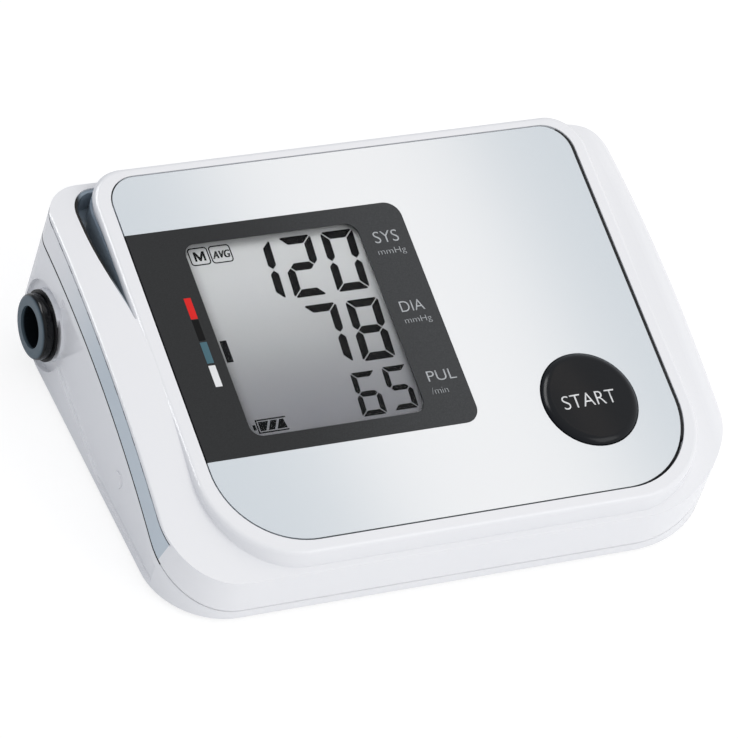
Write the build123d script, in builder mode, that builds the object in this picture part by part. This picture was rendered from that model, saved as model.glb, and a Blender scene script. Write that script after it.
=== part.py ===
"""Tabletop blood pressure monitor: a sloping display unit with a socket for an arm cuff.

Millimetres, +X to the right of the person who reads the display, -Y towards
them, +Z up.  The origin is on the surface the feet stand on, in the middle of
the object's footprint.  Face coordinates run from the middle of the fascia:
x to the right, y up the slope, and depth downwards into the housing.
"""

from build123d import *
import math
import os

os.makedirs("parts", exist_ok=True)

# ---------------------------------------------------------------- housing
housing_width = 149.6
housing_depth = 101.3
front_corner_left = 17.0     # corner radii in plan
front_corner_right = 31.0
rear_corner_left = 9.5
rear_corner_right = 13.0
wall = 2.2
foot_height = 1.0            # the feet hold the underside this far up
tilt = 14.0                  # slope of the fascia, degrees
shoulder_width = 10.3        # shoulders beside the face block
board_gap = 0.839            # main board above the battery bay
crown_radius = 310.0         # the shoulders follow a drum that lies across
crown_peak = 0.5             # its top, up the slope from the fascia's middle
crown_drop = 0.05            # and below the face plane
left_shoulder = 0.5          # rounding of the shoulder's two edges
right_shoulder = 7.0
line_drop = 0.7              # fine line along the left shoulder's edge
line_width = 0.35
line_depth = 0.4
line_start = 11.0            # behind the housing's front
parting_radius = 230.0       # the joint between the shells follows another drum
parting_peak = -1.0
parting_drop = 6.9
parting_gap = 0.4            # open groove along the joint
groove_depth = 1.0
belly_radius = 21.0          # rear lower edge of the housing
toe_radius = 1.2             # front lower edge
least_round = 0.3
tall = 60.0                  # taller than the housing, for forms that get trimmed

# ---------------------------------------------------------------- face
fascia_thick = 1.2
fascia_top_corner = 7.0
fascia_bottom_corner = 20.0
fascia_gap = 0.35
fascia_gap_right = 1.0       # the gasket shows widest along the right edge
rim_side = 4.4               # housing rim beside the fascia
rim_rear = 2.94
rim_front = 3.23
front_ledge = 1.4            # step in front of the raised face block
block_front_corner = 22.0
block_rear_corner = 9.0
rim_round = 1.2
gasket_thick = 0.4
gasket_drop = 0.35           # its lip beside the fascia ends this far below the face
gasket_reach = 2.0           # and runs this far round the corners
ceiling = 3.4                # underside of the face, below the face plane

# ---------------------------------------------------------------- display
bezel_right = 9.7            # the charcoal field, in face coordinates
bezel_top = 33.35
bezel_bottom = -26.03
bezel_corner = 4.0
window_width = 44.4
window_height = 50.6
window_x = -24.95
window_y = 3.8
window_corner = 3.0
lens_thick = 0.9             # the pane lies under the bezel's edge
lens_margin = 1.6            # and reaches this far beyond the window
glass_margin = 2.0           # the glass is larger than the window all round
glass_thick = 2.0
glass_depth = 1.75           # its upper face below the face plane
holder_wall = 1.2
holder_ledge = 1.2           # carries the glass left and right
holder_drop = 0.3            # holder's edge below the glass's face
lens_ledge = 0.5             # the gasket carries the lens this far in
zebra_width = 2.4
loose_fit = 0.2              # drop-in pieces, each side
close_fit = 0.05
snug_fit = 0.02              # pieces that are pressed together

# ---------------------------------------------------------------- start button
button_x = 38.5
button_y = -24.9
button_radius = 12.0
button_gap = 0.3             # around the cap, in fascia and face
button_edge = 1.1            # cap's top edge stands this far proud
button_dome = 0.45           # and its middle this much more
button_bevel = 2.1           # soft slope round the cap
button_fall = 0.95
button_wall = 1.4
button_flange = 1.2
button_flange_thick = 0.9
button_travel = 0.8
stem_radius = 2.6
plunger_deep = 1.0
spring_radius = 8.0
spring_wire = 0.3
spring_turns = 4

# ---------------------------------------------------------------- electronics
board_depth = 6.0
board_thick = 1.6
board_inset_left = 7.1       # from the fascia's edges
board_inset_right = 3.1
board_inset_top = 15.3
board_inset_bottom = 10.8
board_corner = 2.0
post_radius = 3.0
post_inset = 4.0
post_middle = 6.5
pilot_radius = 0.9
board_head_thick = 1.3
chip_size = 12.0
chip_point = (20.0, 8.0)
chip_thick = 1.6
switch_size = 6.2
switch_height = 3.4
plunger_radius = 1.7
plunger_proud = 1.0
buzzer_radius = 6.0
buzzer_height = 3.0
buzzer_point = (40.0, 10.0)
capacitor_radius = 2.5
capacitor_height = 4.5
capacitor_points = ((-20.0, 13.0), (-12.0, 13.0), (-4.0, 13.0))
sensor_width = 11.0
sensor_height = 5.0
valve_width = 16.0
valve_depth = 10.0
valve_height = 8.5
valve_pin_radius = 1.5
valve_pin_deep = 11.5
valve_travel = 1.0

# ---------------------------------------------------------------- pneumatics
socket_inset = 17.6          # axis of the cuff socket before the rear face
socket_z = 12.3
socket_proud = 3.2
socket_radius = 7.75
socket_bore = 5.0
socket_bore_depth = 11.0
socket_neck = 6.6
socket_round = 1.0
flange_radius = 8.4
flange_thick = 0.5
socket_bottom = 1.7          # thickness behind the bore
nut_radius = 8.2
nut_thick = 3.0
barb_radius = 1.3
barb_length = 5.0
branch_barb = 2.5            # shorter barbs between manifold, sensor and valve
tube_outer = 2.2
airway = 0.7
pump_inset = 15.8            # pump's axis before the rear face
pump_z = 17.5
pump_tube_length = 14.0      # from the manifold to the head that carries the outlet
valve_plate_length = 7.0
diaphragm_thick = 1.0
crankcase_length = 9.0
head_half = 9.5
head_corner = 5.5
case_floor = 2.0
crank_room = 7.5
crank_gap = 1.5
crank_thick = 3.0
crank_radius = 4.5
crank_throw = 1.2
motor_length = 27.0
end_cap_thick = 3.0
motor_radius = 10.0
can_wall = 0.8
shaft_radius = 1.0
shaft_fit = 0.04
rotor_place = 4.5            # behind the motor's face
rotor_length = 15.0
rotor_radius = 6.2
rotor_gap = 0.4
rotor_slot = 1.0
rotor_slot_depth = 4.0
magnet_split = 5.0
sleeve_thick = 1.0
sleeve_inset = 2.0
cradle_steps = (5.0, 20.0)   # behind the motor's face
cradle_thick = 2.0
cradle_wall = 1.6
cradle_rise = 3.0
saddle_steps = (2.0, 15.0)   # along the manifold
socket_tube_length = 19.3
manifold_length = 28.0
manifold_size = 7.0
sensor_step = 22.0
valve_step = 6.0

# ---------------------------------------------------------------- power
cell_radius = 7.15
cell_length = 49.2
nub_radius = 2.6
nub_length = 1.2
row_pitch = 15.2
bay_room = 0.65              # between the bay and the pump's cradle
bay_wall = 1.2
bay_slack = 3.6              # room for the contacts at each end
bay_clear = 0.3
door_thick = 1.7
door_clear = 0.1
door_gap = 0.35
door_lip = 3.0
door_corner = 1.5
pin_radius = 0.65
pin_length = 1.5
ridge_length = 14.0
ridge_width = 1.2
ridge_height = 1.0
notch_radius = 7.0
grip_field = 8.0
grip_pitch = 2.0
grip_count = 4
grip_length = 16.0
grip_width = 0.8
grip_depth = 0.4
contact_thick = 0.4
contact_size = 10.5
coil_radius = 3.2
coil_wire = 0.3
coil_turns = 3

# ---------------------------------------------------------------- fasteners and feet
boss_gap = 1.4               # beside the door's hinge
boss_front = -26.0
boss_rear = 2.0
boss_radius = 3.4
screw_radius = 1.1
screw_head = 2.6
screw_head_thick = 1.6
screw_length = 10.0
screw_sink = 2.2             # seat of the head above the underside
cross_length = 2.6           # cross recess in every screw head
cross_width = 0.6
boss_joint = 8.0             # where the upper boss meets the lower one, above the underside
board_screw_length = 3.4
board_screw_head = 2.2
foot_radius = 4.5
foot_sink = 0.8
foot_inset_side = 16.8
foot_inset_front = 14.65
foot_inset_rear = 26.65
foot_gap = 0.5

# ---------------------------------------------------------------- slot and side
slot_inset = 7.3             # slot beside the face block, from the left wall
slot_lip = 2.3               # from the rear face
slot_length = 33.0
slot_straight = 9.0
slot_end_x = 5.2             # radii of its rounded end
slot_end_y = 6.3
slot_under = 7.0             # its outline reaches this far under the block
slot_free = 0.1              # between liner and block
slot_depth = 10.0            # floor of the slot below the face plane
liner_wall = 0.8
liner_drop = 0.4             # its edge below the shoulder's surface
liner_side = 0.6             # its wall let into the block
liner_seat = 1.3             # and the edge of that wall below the face plane
band_height = 2.4            # flush band below the joint
recess_depth = 0.8
recess_inset_front = 13.15
recess_inset_rear = 22.65
recess_clear = 2.0           # behind the rounded corner on the right
recess_bend = -5.5
recess_rise = 10.0
toe_height = 1.4
scoop_depth = 1.4
scoop_reach = 18.0
scoop_radius = 10.8
mark_radius = 2.0
mark_y = -13.3
mark_z = 9.6

# ---------------------------------------------------------------- places
housing_x = socket_proud / 2          # the socket widens the footprint on the left
half_width = housing_width / 2
half_depth = housing_depth / 2
lean = math.radians(tilt)
slope = math.tan(lean)
fascia_width = housing_width - 2 * (rim_side + shoulder_width)
fascia_height = (housing_depth - front_ledge - rim_front - rim_rear) / math.cos(lean)
block_width = fascia_width + 2 * rim_side
block_front = -half_depth + front_ledge
pump_y = half_depth - pump_inset
socket_y = half_depth - socket_inset
sleeve_radius = motor_radius + sleeve_thick
bay_half_width = row_pitch / 2 + cell_radius + bay_clear
bay_y = pump_y - sleeve_radius - cradle_wall - bay_room - bay_wall - bay_half_width
door_seat = foot_height + door_thick + door_clear
cell_z = door_seat + bay_clear + cell_radius
bay_roof = cell_z + cell_radius + bay_clear
board_under = board_depth + board_thick
face_y = half_depth - rim_rear - fascia_height * math.cos(lean) / 2
bay_front = bay_y - bay_half_width - bay_wall
# the board passes just above the bay's front edge, and carries the face with it
face_z = bay_roof + bay_wall + board_gap + board_under / math.cos(lean) + (face_y - bay_front) * slope
out = (0, -math.sin(lean), math.cos(lean))
up_slope = (0, math.cos(lean), math.sin(lean))
ground = Plane(origin=(housing_x, 0, 0))
underside = ground.offset(foot_height)
side = Plane(origin=(housing_x, 0, 0), x_dir=(0, 1, 0), z_dir=(1, 0, 0))
face = Plane(origin=(housing_x, face_y, face_z), x_dir=(1, 0, 0), z_dir=out)
face_side = Plane(origin=(housing_x, face_y, face_z), x_dir=up_slope, z_dir=(1, 0, 0))
floor_z = foot_height + wall
board_left = -fascia_width / 2 + board_inset_left
board_right = fascia_width / 2 - board_inset_right
board_top = fascia_height / 2 - board_inset_top
board_bottom = -fascia_height / 2 + board_inset_bottom
post_points = (
    (board_left + post_inset, board_bottom + post_inset),
    (post_middle, board_top - post_inset - 1.5),
    (board_right - post_inset, board_top - post_inset - 1.5),
    (board_right - post_inset, board_bottom + post_inset),
)
glass_width = window_width + 2 * glass_margin
glass_height = window_height + 2 * glass_margin
holder_width = glass_width + 2 * (holder_wall + loose_fit)
holder_height = glass_height + 2 * (holder_wall + loose_fit)
bay_half_length = cell_length + nub_length + bay_slack
door_half_length = bay_half_length + door_lip
door_half_width = bay_half_width + door_lip
hinge_y = bay_y - door_half_width + door_gap + door_thick / 2
hinge_z = foot_height + door_thick / 2
socket_inner = -half_width - socket_proud + socket_bore_depth + socket_bottom
manifold_left = socket_inner + socket_tube_length
manifold_right = manifold_left + manifold_length
sensor_x = manifold_left + sensor_step
valve_x = manifold_left + valve_step
saddle_places = (manifold_left + saddle_steps[0], manifold_left + saddle_steps[1])
pump_left = manifold_right + pump_tube_length
diaphragm_x = pump_left + valve_plate_length
crankcase_x = diaphragm_x + diaphragm_thick
motor_x = crankcase_x + crankcase_length
motor_end = motor_x + motor_length
rotor_x = motor_x + rotor_place
cradle_places = (motor_x + cradle_steps[0], motor_x + cradle_steps[1])
boss_x = door_half_length + pin_length + bay_wall + boss_radius + boss_gap
boss_points = ((-boss_x, boss_front), (boss_x, boss_front), (-boss_x, boss_rear), (boss_x, boss_rear))
foot_x = half_width - foot_inset_side
foot_y = -half_depth + foot_inset_front
rear_foot_x = door_half_length + foot_gap + foot_radius
rear_foot_y = half_depth - foot_inset_rear
foot_points = (
    (-foot_x, foot_y), (foot_x, foot_y), (-rear_foot_x, rear_foot_y), (rear_foot_x, rear_foot_y)
)
slot_left = -half_width + slot_inset
slot_right = -block_width / 2 - slot_free
slot_end = half_depth - slot_lip
slot_tip = slot_end - slot_length
recess_front = -half_depth + recess_inset_front
recess_front_right = -half_depth + front_corner_right + recess_clear
recess_rear = half_depth - recess_inset_rear
air_up = (socket_y - face_y) * math.cos(lean) + (socket_z - face_z) * math.sin(lean)
air_depth = (socket_y - face_y) * math.sin(lean) - (socket_z - face_z) * math.cos(lean)


def drum(radius, peak, drop, width, left_round=0.0, right_round=0.0):
    """A drum lying across the housing; its top lies `drop` below the face plane."""
    with BuildPart() as form:
        with BuildSketch(face_side.offset(-width / 2)):
            with Locations((peak, -drop - radius)):
                Circle(radius)
        extrude(amount=width)
        if left_round > 0:
            fillet(form.edges().sort_by(Axis.X)[0], left_round)
        if right_round > 0:
            fillet(form.edges().sort_by(Axis.X)[-1], right_round)
    return form.part


def body_form(inset):
    """The housing's body below its crowned top, drawn in by `inset` all round."""
    width = housing_width - 2 * inset
    depth = housing_depth - 2 * inset
    low = foot_height + inset
    with BuildPart() as form:
        with BuildSketch(ground):
            Rectangle(width, depth)
            fillet(vertices().group_by(Axis.Y)[0].sort_by(Axis.X)[0], front_corner_left - inset)
            fillet(vertices().group_by(Axis.Y)[0].sort_by(Axis.X)[-1], front_corner_right - inset)
            fillet(vertices().group_by(Axis.Y)[-1].sort_by(Axis.X)[0], rear_corner_left - inset)
            fillet(vertices().group_by(Axis.Y)[-1].sort_by(Axis.X)[-1], rear_corner_right - inset)
        extrude(amount=tall)
        with BuildSketch(side.offset(-half_width)):
            with Locations((0, (low + tall) / 2)):
                Rectangle(depth, tall - low)
            lower = vertices().group_by(Axis.Y)[0].sort_by(Axis.X)
            fillet(lower[-1], belly_radius - inset)
            fillet(lower[0], max(toe_radius - inset, least_round))
        extrude(amount=housing_width, mode=Mode.INTERSECT)
        add(
            drum(
                crown_radius - inset, crown_peak, crown_drop + inset, width,
                max(left_shoulder - inset, 0.0), max(right_shoulder - inset, 0.0),
            ),
            mode=Mode.INTERSECT,
        )
    return form.part


def block_form(inset, sink, round_top=0.0):
    """The raised block that frames the fascia, cut off `sink` below the face plane."""
    rear = half_depth - inset
    front = block_front + inset
    with BuildPart() as form:
        with BuildSketch(underside.offset(wall)):
            with Locations((0, (rear + front) / 2)):
                Rectangle(block_width - 2 * inset, rear - front)
            fillet(vertices().group_by(Axis.Y)[0], block_front_corner - inset)
            fillet(vertices().group_by(Axis.Y)[-1], block_rear_corner - inset)
        extrude(amount=tall)
        split(bisect_by=face.offset(-sink), keep=Keep.BOTTOM)
        if round_top > 0:
            fillet(form.faces().sort_by(Axis.Z)[-1].edges(), round_top)
    return form.part


def joint_drum(lower_by=0.0):
    """What lies below the joint between the two shells."""
    return drum(parting_radius - lower_by, parting_peak, parting_drop + lower_by, housing_width + 2)


def fascia_outline(grow, grow_right):
    """The fascia's outline on a face plane, grown on three sides and on the right."""
    with Locations(((grow_right - grow) / 2, 0)):
        Rectangle(fascia_width + grow + grow_right, fascia_height + 2 * grow)
    fillet(vertices().group_by(Axis.Y)[0], fascia_bottom_corner + grow)
    fillet(vertices().group_by(Axis.Y)[-1], fascia_top_corner + grow)


def slot_outline(grow):
    """Plan of the slot: a point in front, a round end at the rear, the rest under the block."""
    left = slot_left - grow
    rear = slot_end + grow
    front = slot_tip - 3 * grow
    inner = slot_right + slot_under
    wide = slot_end - slot_straight
    across_end = slot_end_x + grow
    along_end = slot_end_y + grow
    with BuildLine() as outline:
        Line((slot_right, front), (inner, front))
        Line((inner, front), (inner, rear))
        Line((inner, rear), (left + across_end, rear))
        EllipticalCenterArc((left + across_end, rear - along_end), across_end, along_end, 90, arc_size=90)
        Line((left, rear - along_end), (left, wide))
        Spline((left, wide), (slot_right, front), tangents=[(0, -1), (0.16, -1)])
    make_face(outline.edges())


def face_point(x, y, depth=0.0):
    """The point x to the right, y up the slope and depth below the face plane."""
    return face.from_local_coords((x, y, -depth))


def across(x):
    """Upright plane that looks to the right, x from the housing's middle."""
    return Plane(origin=(housing_x + x, 0, 0), x_dir=(0, 1, 0), z_dir=(1, 0, 0))


def branch(x):
    """Plane on the air line's axis that looks up, square to the fascia."""
    return Plane(origin=(housing_x + x, socket_y, socket_z), x_dir=(1, 0, 0), z_dir=out)


def slot_form(grow, sink, free):
    """The slot's room, `grow` larger and `free` clear of the block, floor `sink` below the face plane."""
    with BuildPart() as form:
        with BuildSketch(ground):
            slot_outline(grow)
        extrude(amount=tall)
        split(bisect_by=face.offset(-sink), keep=Keep.TOP)
        add(block_form(-free, 0), mode=Mode.SUBTRACT)
    return form.part


# ---------------------------------------------------------------- upper shell
with BuildPart() as cavity:
    add(body_form(wall))
    add(block_form(wall, ceiling))
    split(bisect_by=face.offset(-ceiling), keep=Keep.BOTTOM)

with BuildPart() as block_wall:
    add(block_form(0, 0, rim_round))
    add(block_form(wall, 0), mode=Mode.SUBTRACT)
    add(joint_drum(), mode=Mode.SUBTRACT)
    with BuildSketch(ground):
        with Locations((slot_right + slot_under / 2, (slot_tip + slot_end) / 2)):
            Rectangle(2 * slot_under, slot_length + 4 * wall)
    extrude(amount=tall, mode=Mode.INTERSECT)
    split(bisect_by=face.offset(-slot_depth), keep=Keep.TOP)

with BuildPart() as side_seat:
    add(slot_form(liner_wall + close_fit, slot_depth, -liner_side - close_fit))
    split(bisect_by=face.offset(-liner_seat), keep=Keep.BOTTOM)

with BuildPart() as shoulder_line:
    add(body_form(0))
    add(body_form(line_depth), mode=Mode.SUBTRACT)
    add(drum(crown_radius - line_drop, crown_peak, crown_drop + line_drop, housing_width + 2), mode=Mode.INTERSECT)
    line_low = line_drop + line_width
    add(drum(crown_radius - line_low, crown_peak, crown_drop + line_low, housing_width + 2), mode=Mode.SUBTRACT)
    with BuildSketch(ground):
        with Locations((-half_width, half_depth)):
            Rectangle(2 * rear_corner_left, 2 * (housing_depth - line_start))
    extrude(amount=tall, mode=Mode.INTERSECT)

with BuildPart() as boss_rods:
    with BuildSketch(underside.offset(boss_joint + close_fit)):
        with Locations(*boss_points):
            Circle(boss_radius)
    extrude(amount=tall)
    add(body_form(wall / 2), mode=Mode.INTERSECT)
    with BuildSketch(underside.offset(boss_joint)):
        with Locations(*boss_points):
            Circle(screw_radius + snug_fit)
    extrude(amount=screw_sink + screw_length + 1.0 - boss_joint, mode=Mode.SUBTRACT)

with BuildPart() as upper_shell:
    add(body_form(0))
    add(block_form(0, 0, rim_round))
    add(joint_drum(), mode=Mode.SUBTRACT)
    add(cavity.part, mode=Mode.SUBTRACT)
    # seat of the gasket and the fascia
    with BuildSketch(face):
        fascia_outline(fascia_gap, fascia_gap_right)
    extrude(amount=-(fascia_thick + gasket_thick), mode=Mode.SUBTRACT)
    # openings for the display glass and the button
    with BuildSketch(face):
        with Locations((window_x, window_y)):
            Rectangle(holder_width + 2 * loose_fit, holder_height + 2 * loose_fit)
        with Locations((button_x, button_y)):
            Circle(button_radius + button_gap)
    extrude(amount=-2 * ceiling, mode=Mode.SUBTRACT)
    # slot in the left shoulder; the block's own wall stays whole beside it
    add(slot_form(liner_wall + close_fit, slot_depth, -wall / 4), mode=Mode.SUBTRACT)
    add(block_wall.part)
    add(side_seat.part, mode=Mode.SUBTRACT)
    add(shoulder_line.part, mode=Mode.SUBTRACT)
    # screw bosses, and posts for the board
    add(boss_rods.part)
    with BuildSketch(face.offset(-board_depth)):
        with Locations(*post_points):
            Circle(post_radius)
    extrude(amount=board_depth - ceiling + wall / 4)
    with BuildSketch(face.offset(-board_depth)):
        with Locations(*post_points):
            Circle(pilot_radius)
    extrude(amount=board_screw_length - board_thick + 0.3, mode=Mode.SUBTRACT)
upper_shell.part.label = "upper_shell"
export_step(upper_shell.part, "parts/upper_shell.step")

# ---------------------------------------------------------------- lower shell
with BuildPart() as bay_box:
    with BuildSketch(underside):
        with Locations((0, bay_y)):
            Rectangle(2 * (bay_half_length + bay_wall), 2 * (bay_half_width + bay_wall))
    extrude(amount=bay_roof + bay_wall - foot_height)
    with BuildSketch(underside):
        with Locations((0, bay_y)):
            Rectangle(2 * (door_half_length + pin_length + bay_wall), 2 * (door_half_width + bay_wall))
    extrude(amount=door_seat + bay_wall - foot_height)

with BuildPart() as cradle:
    for x in cradle_places:
        with BuildSketch(across(x)):
            with Locations((pump_y, (floor_z + pump_z + cradle_rise) / 2)):
                Rectangle(2 * (sleeve_radius + cradle_wall), pump_z + cradle_rise - floor_z + wall)
            with Locations((pump_y, pump_z)):
                Circle(sleeve_radius + close_fit, mode=Mode.SUBTRACT)
            with Locations((pump_y, pump_z + cradle_rise)):
                Rectangle(2 * motor_radius, 2 * cradle_rise + wall, mode=Mode.SUBTRACT)
        extrude(amount=cradle_thick)
    for x in saddle_places:
        with BuildSketch(across(x)):
            with Locations((socket_y, (floor_z + socket_z) / 2)):
                Rectangle(manifold_size + 2 * cradle_wall, socket_z - floor_z + wall)
            with Locations((socket_y, socket_z)):
                Rectangle(
                    manifold_size + 2 * close_fit, manifold_size + 2 * close_fit, tilt,
                    mode=Mode.SUBTRACT,
                )
            with Locations((socket_y, socket_z + manifold_size / 2)):
                Rectangle(2 * manifold_size, manifold_size, mode=Mode.SUBTRACT)
        extrude(amount=cradle_thick)
    add(body_form(wall / 2), mode=Mode.INTERSECT)

with BuildPart() as side_recess:
    for x, push, front in (
        (-half_width, recess_depth, recess_front),
        (half_width, -recess_depth, recess_front_right),
    ):
        with BuildSketch(across(x)):
            with BuildLine():
                Polyline(
                    (front, foot_height + toe_height),
                    (recess_bend, foot_height + toe_height),
                    (recess_rear - toe_height, recess_rise),
                    (recess_rear, recess_rise + toe_height),
                    (recess_rear, tall),
                    (front, tall),
                    close=True,
                )
            make_face()
        extrude(amount=push)
    add(joint_drum(band_height), mode=Mode.INTERSECT)

with BuildPart() as scoop:
    with BuildSketch(across(-half_width)):
        with Locations((socket_y, socket_z)):
            Circle(scoop_radius)
        with BuildLine():
            Polyline(
                (socket_y, socket_z + scoop_radius),
                (socket_y - scoop_reach, socket_z + scoop_radius),
                (socket_y - scoop_radius, socket_z),
                (socket_y, socket_z),
                close=True,
            )
        make_face()
    extrude(amount=scoop_depth)
    with BuildSketch(across(-half_width)):
        with Locations((socket_y, socket_z)):
            Circle(flange_radius + loose_fit)
    extrude(amount=scoop_depth, mode=Mode.SUBTRACT)

with BuildPart() as lower_lip:
    add(body_form(groove_depth))
    add(joint_drum(), mode=Mode.INTERSECT)

with BuildPart() as lower_bosses:
    with BuildSketch(ground.offset(floor_z - wall / 2)):
        with Locations(*boss_points):
            Circle(boss_radius)
    extrude(amount=foot_height + boss_joint - floor_z + wall / 2)

with BuildPart() as lower_shell:
    # the outer wall stops short of the joint and leaves a dark groove
    add(body_form(0))
    add(joint_drum(parting_gap), mode=Mode.INTERSECT)
    add(lower_lip.part)
    add(body_form(wall), mode=Mode.SUBTRACT)
    add(bay_box.part)
    add(cradle.part)
    add(lower_bosses.part)
    add(side_recess.part, mode=Mode.SUBTRACT)
    add(scoop.part, mode=Mode.SUBTRACT)
    # blank plug mark in the left recess
    with BuildSketch(across(-half_width + recess_depth)):
        with Locations((mark_y, mark_z)):
            Circle(mark_radius)
    extrude(amount=-recess_depth / 2)
    # cuff socket's hole
    with BuildSketch(across(-half_width)):
        with Locations((socket_y, socket_z)):
            Circle(socket_neck + close_fit)
    extrude(amount=2 * wall, mode=Mode.SUBTRACT)
    # battery bay, open below, with the door's seat and its hinge holes
    with BuildSketch(underside):
        with Locations((0, bay_y)):
            Rectangle(2 * bay_half_length, 2 * bay_half_width)
    extrude(amount=bay_roof - foot_height, mode=Mode.SUBTRACT)
    with BuildSketch(underside):
        with Locations((0, bay_y)):
            Rectangle(2 * door_half_length, 2 * door_half_width)
    extrude(amount=door_seat - foot_height, mode=Mode.SUBTRACT)
    with BuildSketch(across(-door_half_length - pin_length)):
        with Locations((hinge_y, hinge_z)):
            Circle(pin_radius + close_fit)
    extrude(amount=2 * (door_half_length + pin_length), mode=Mode.SUBTRACT)
    # finger notch behind the door
    with BuildSketch(underside):
        with Locations((0, bay_y + door_half_width)):
            Circle(notch_radius)
    extrude(amount=wall / 3, mode=Mode.SUBTRACT)
    # screws from below, and pockets for the feet
    with BuildSketch(underside):
        with Locations(*boss_points):
            Circle(screw_head + loose_fit)
    extrude(amount=screw_sink, mode=Mode.SUBTRACT)
    with BuildSketch(underside):
        with Locations(*boss_points):
            Circle(screw_radius + loose_fit)
    extrude(amount=boss_joint, mode=Mode.SUBTRACT)
    with BuildSketch(underside):
        with Locations(*foot_points):
            Circle(foot_radius + close_fit)
    extrude(amount=foot_sink, mode=Mode.SUBTRACT)
lower_shell.part.label = "lower_shell"
export_step(lower_shell.part, "parts/lower_shell.step")

# ---------------------------------------------------------------- battery door
with BuildPart() as battery_door:
    door_rear = bay_y + door_half_width - door_gap
    door_half = door_half_length - door_gap
    with BuildSketch(underside):
        with Locations((0, (hinge_y + door_rear) / 2)):
            Rectangle(2 * door_half, door_rear - hinge_y)
        fillet(vertices().group_by(Axis.Y)[-1], door_corner)
    extrude(amount=door_thick)
    with BuildSketch(across(-door_half)):
        with Locations((hinge_y, hinge_z)):
            Circle(door_thick / 2)
    extrude(amount=2 * door_half)
    with BuildSketch(across(-door_half - pin_length)):
        with Locations((hinge_y, hinge_z)):
            Circle(pin_radius)
    extrude(amount=2 * (door_half + pin_length))
    # latch ridge, just inside the bay's rear wall
    with BuildSketch(underside.offset(door_thick)):
        with Locations((0, bay_y + bay_half_width - bay_clear - ridge_width / 2)):
            Rectangle(ridge_length, ridge_width)
    extrude(amount=ridge_height)
    # grip lines
    with BuildSketch(underside):
        with Locations((0, door_rear - grip_field)):
            with GridLocations(0, grip_pitch, 1, grip_count):
                SlotOverall(grip_length, grip_width)
    extrude(amount=grip_depth, mode=Mode.SUBTRACT)
battery_door.part.label = "battery_door"
export_step(battery_door.part, "parts/battery_door.step")

# ---------------------------------------------------------------- face pieces
with BuildPart() as gasket_lip:
    with BuildSketch(face.offset(-fascia_thick)):
        fascia_outline(fascia_gap - close_fit, fascia_gap_right - close_fit)
    extrude(amount=fascia_thick - gasket_drop)
    with BuildSketch(face.offset(-fascia_thick)):
        fascia_outline(close_fit, close_fit)
    extrude(amount=fascia_thick, mode=Mode.SUBTRACT)
    with BuildSketch(face.offset(-fascia_thick)):
        with Locations((fascia_width / 2, 0)):
            Rectangle(2 * gasket_reach, 2 * fascia_height)
    extrude(amount=fascia_thick, mode=Mode.INTERSECT)

with BuildPart() as fascia_gasket:
    with BuildSketch(face.offset(-fascia_thick - gasket_thick)):
        fascia_outline(fascia_gap - close_fit, fascia_gap_right - close_fit)
        with Locations((window_x, window_y)):
            RectangleRounded(
                window_width + 2 * (lens_margin - lens_ledge),
                window_height + 2 * (lens_margin - lens_ledge),
                window_corner + lens_margin - lens_ledge, mode=Mode.SUBTRACT,
            )
        with Locations((button_x, button_y)):
            Circle(button_radius + button_gap, mode=Mode.SUBTRACT)
    extrude(amount=gasket_thick)
    add(gasket_lip.part)
fascia_gasket.part.label = "fascia_gasket"
export_step(fascia_gasket.part, "parts/fascia_gasket.step")

bezel_left = -fascia_width / 2
with BuildPart() as fascia:
    with BuildSketch(face.offset(-fascia_thick)):
        fascia_outline(0, 0)
        with Locations((button_x, button_y)):
            Circle(button_radius + button_gap, mode=Mode.SUBTRACT)
    extrude(amount=fascia_thick)
    with BuildSketch(face.offset(-fascia_thick)):
        with Locations(((bezel_left + bezel_right) / 2, (bezel_top + bezel_bottom) / 2)):
            Rectangle(bezel_right - bezel_left, bezel_top - bezel_bottom)
        fillet(vertices().group_by(Axis.X)[-1], bezel_corner)
    extrude(amount=fascia_thick, mode=Mode.SUBTRACT)
fascia.part.label = "fascia"
export_step(fascia.part, "parts/fascia.step")

with BuildPart() as display_bezel:
    with BuildSketch(face.offset(-fascia_thick)):
        with Locations(((bezel_left + bezel_right) / 2, (bezel_top + bezel_bottom) / 2)):
            Rectangle(
                bezel_right - bezel_left - 2 * close_fit, bezel_top - bezel_bottom - 2 * close_fit
            )
        fillet(vertices().group_by(Axis.X)[-1], bezel_corner - close_fit)
        with Locations((window_x, window_y)):
            RectangleRounded(window_width, window_height, window_corner, mode=Mode.SUBTRACT)
    extrude(amount=fascia_thick)
    # seat of the window's pane, from below
    with BuildSketch(face.offset(-fascia_thick)):
        with Locations((window_x, window_y)):
            RectangleRounded(
                window_width + 2 * lens_margin, window_height + 2 * lens_margin,
                window_corner + lens_margin,
            )
    extrude(amount=lens_thick + close_fit, mode=Mode.SUBTRACT)
display_bezel.part.label = "display_bezel"
export_step(display_bezel.part, "parts/display_bezel.step")

with BuildPart() as window_lens:
    with BuildSketch(face.offset(-fascia_thick)):
        with Locations((window_x, window_y)):
            RectangleRounded(
                window_width + 2 * (lens_margin - close_fit),
                window_height + 2 * (lens_margin - close_fit),
                window_corner + lens_margin - close_fit,
            )
    extrude(amount=lens_thick)
window_lens.part.label = "window_lens"
export_step(window_lens.part, "parts/window_lens.step")

with BuildPart() as lcd_glass:
    with BuildSketch(face.offset(-glass_depth - glass_thick)):
        with Locations((window_x, window_y)):
            Rectangle(glass_width, glass_height)
    extrude(amount=glass_thick)
lcd_glass.part.label = "lcd_glass"
export_step(lcd_glass.part, "parts/lcd_glass.step")

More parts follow.
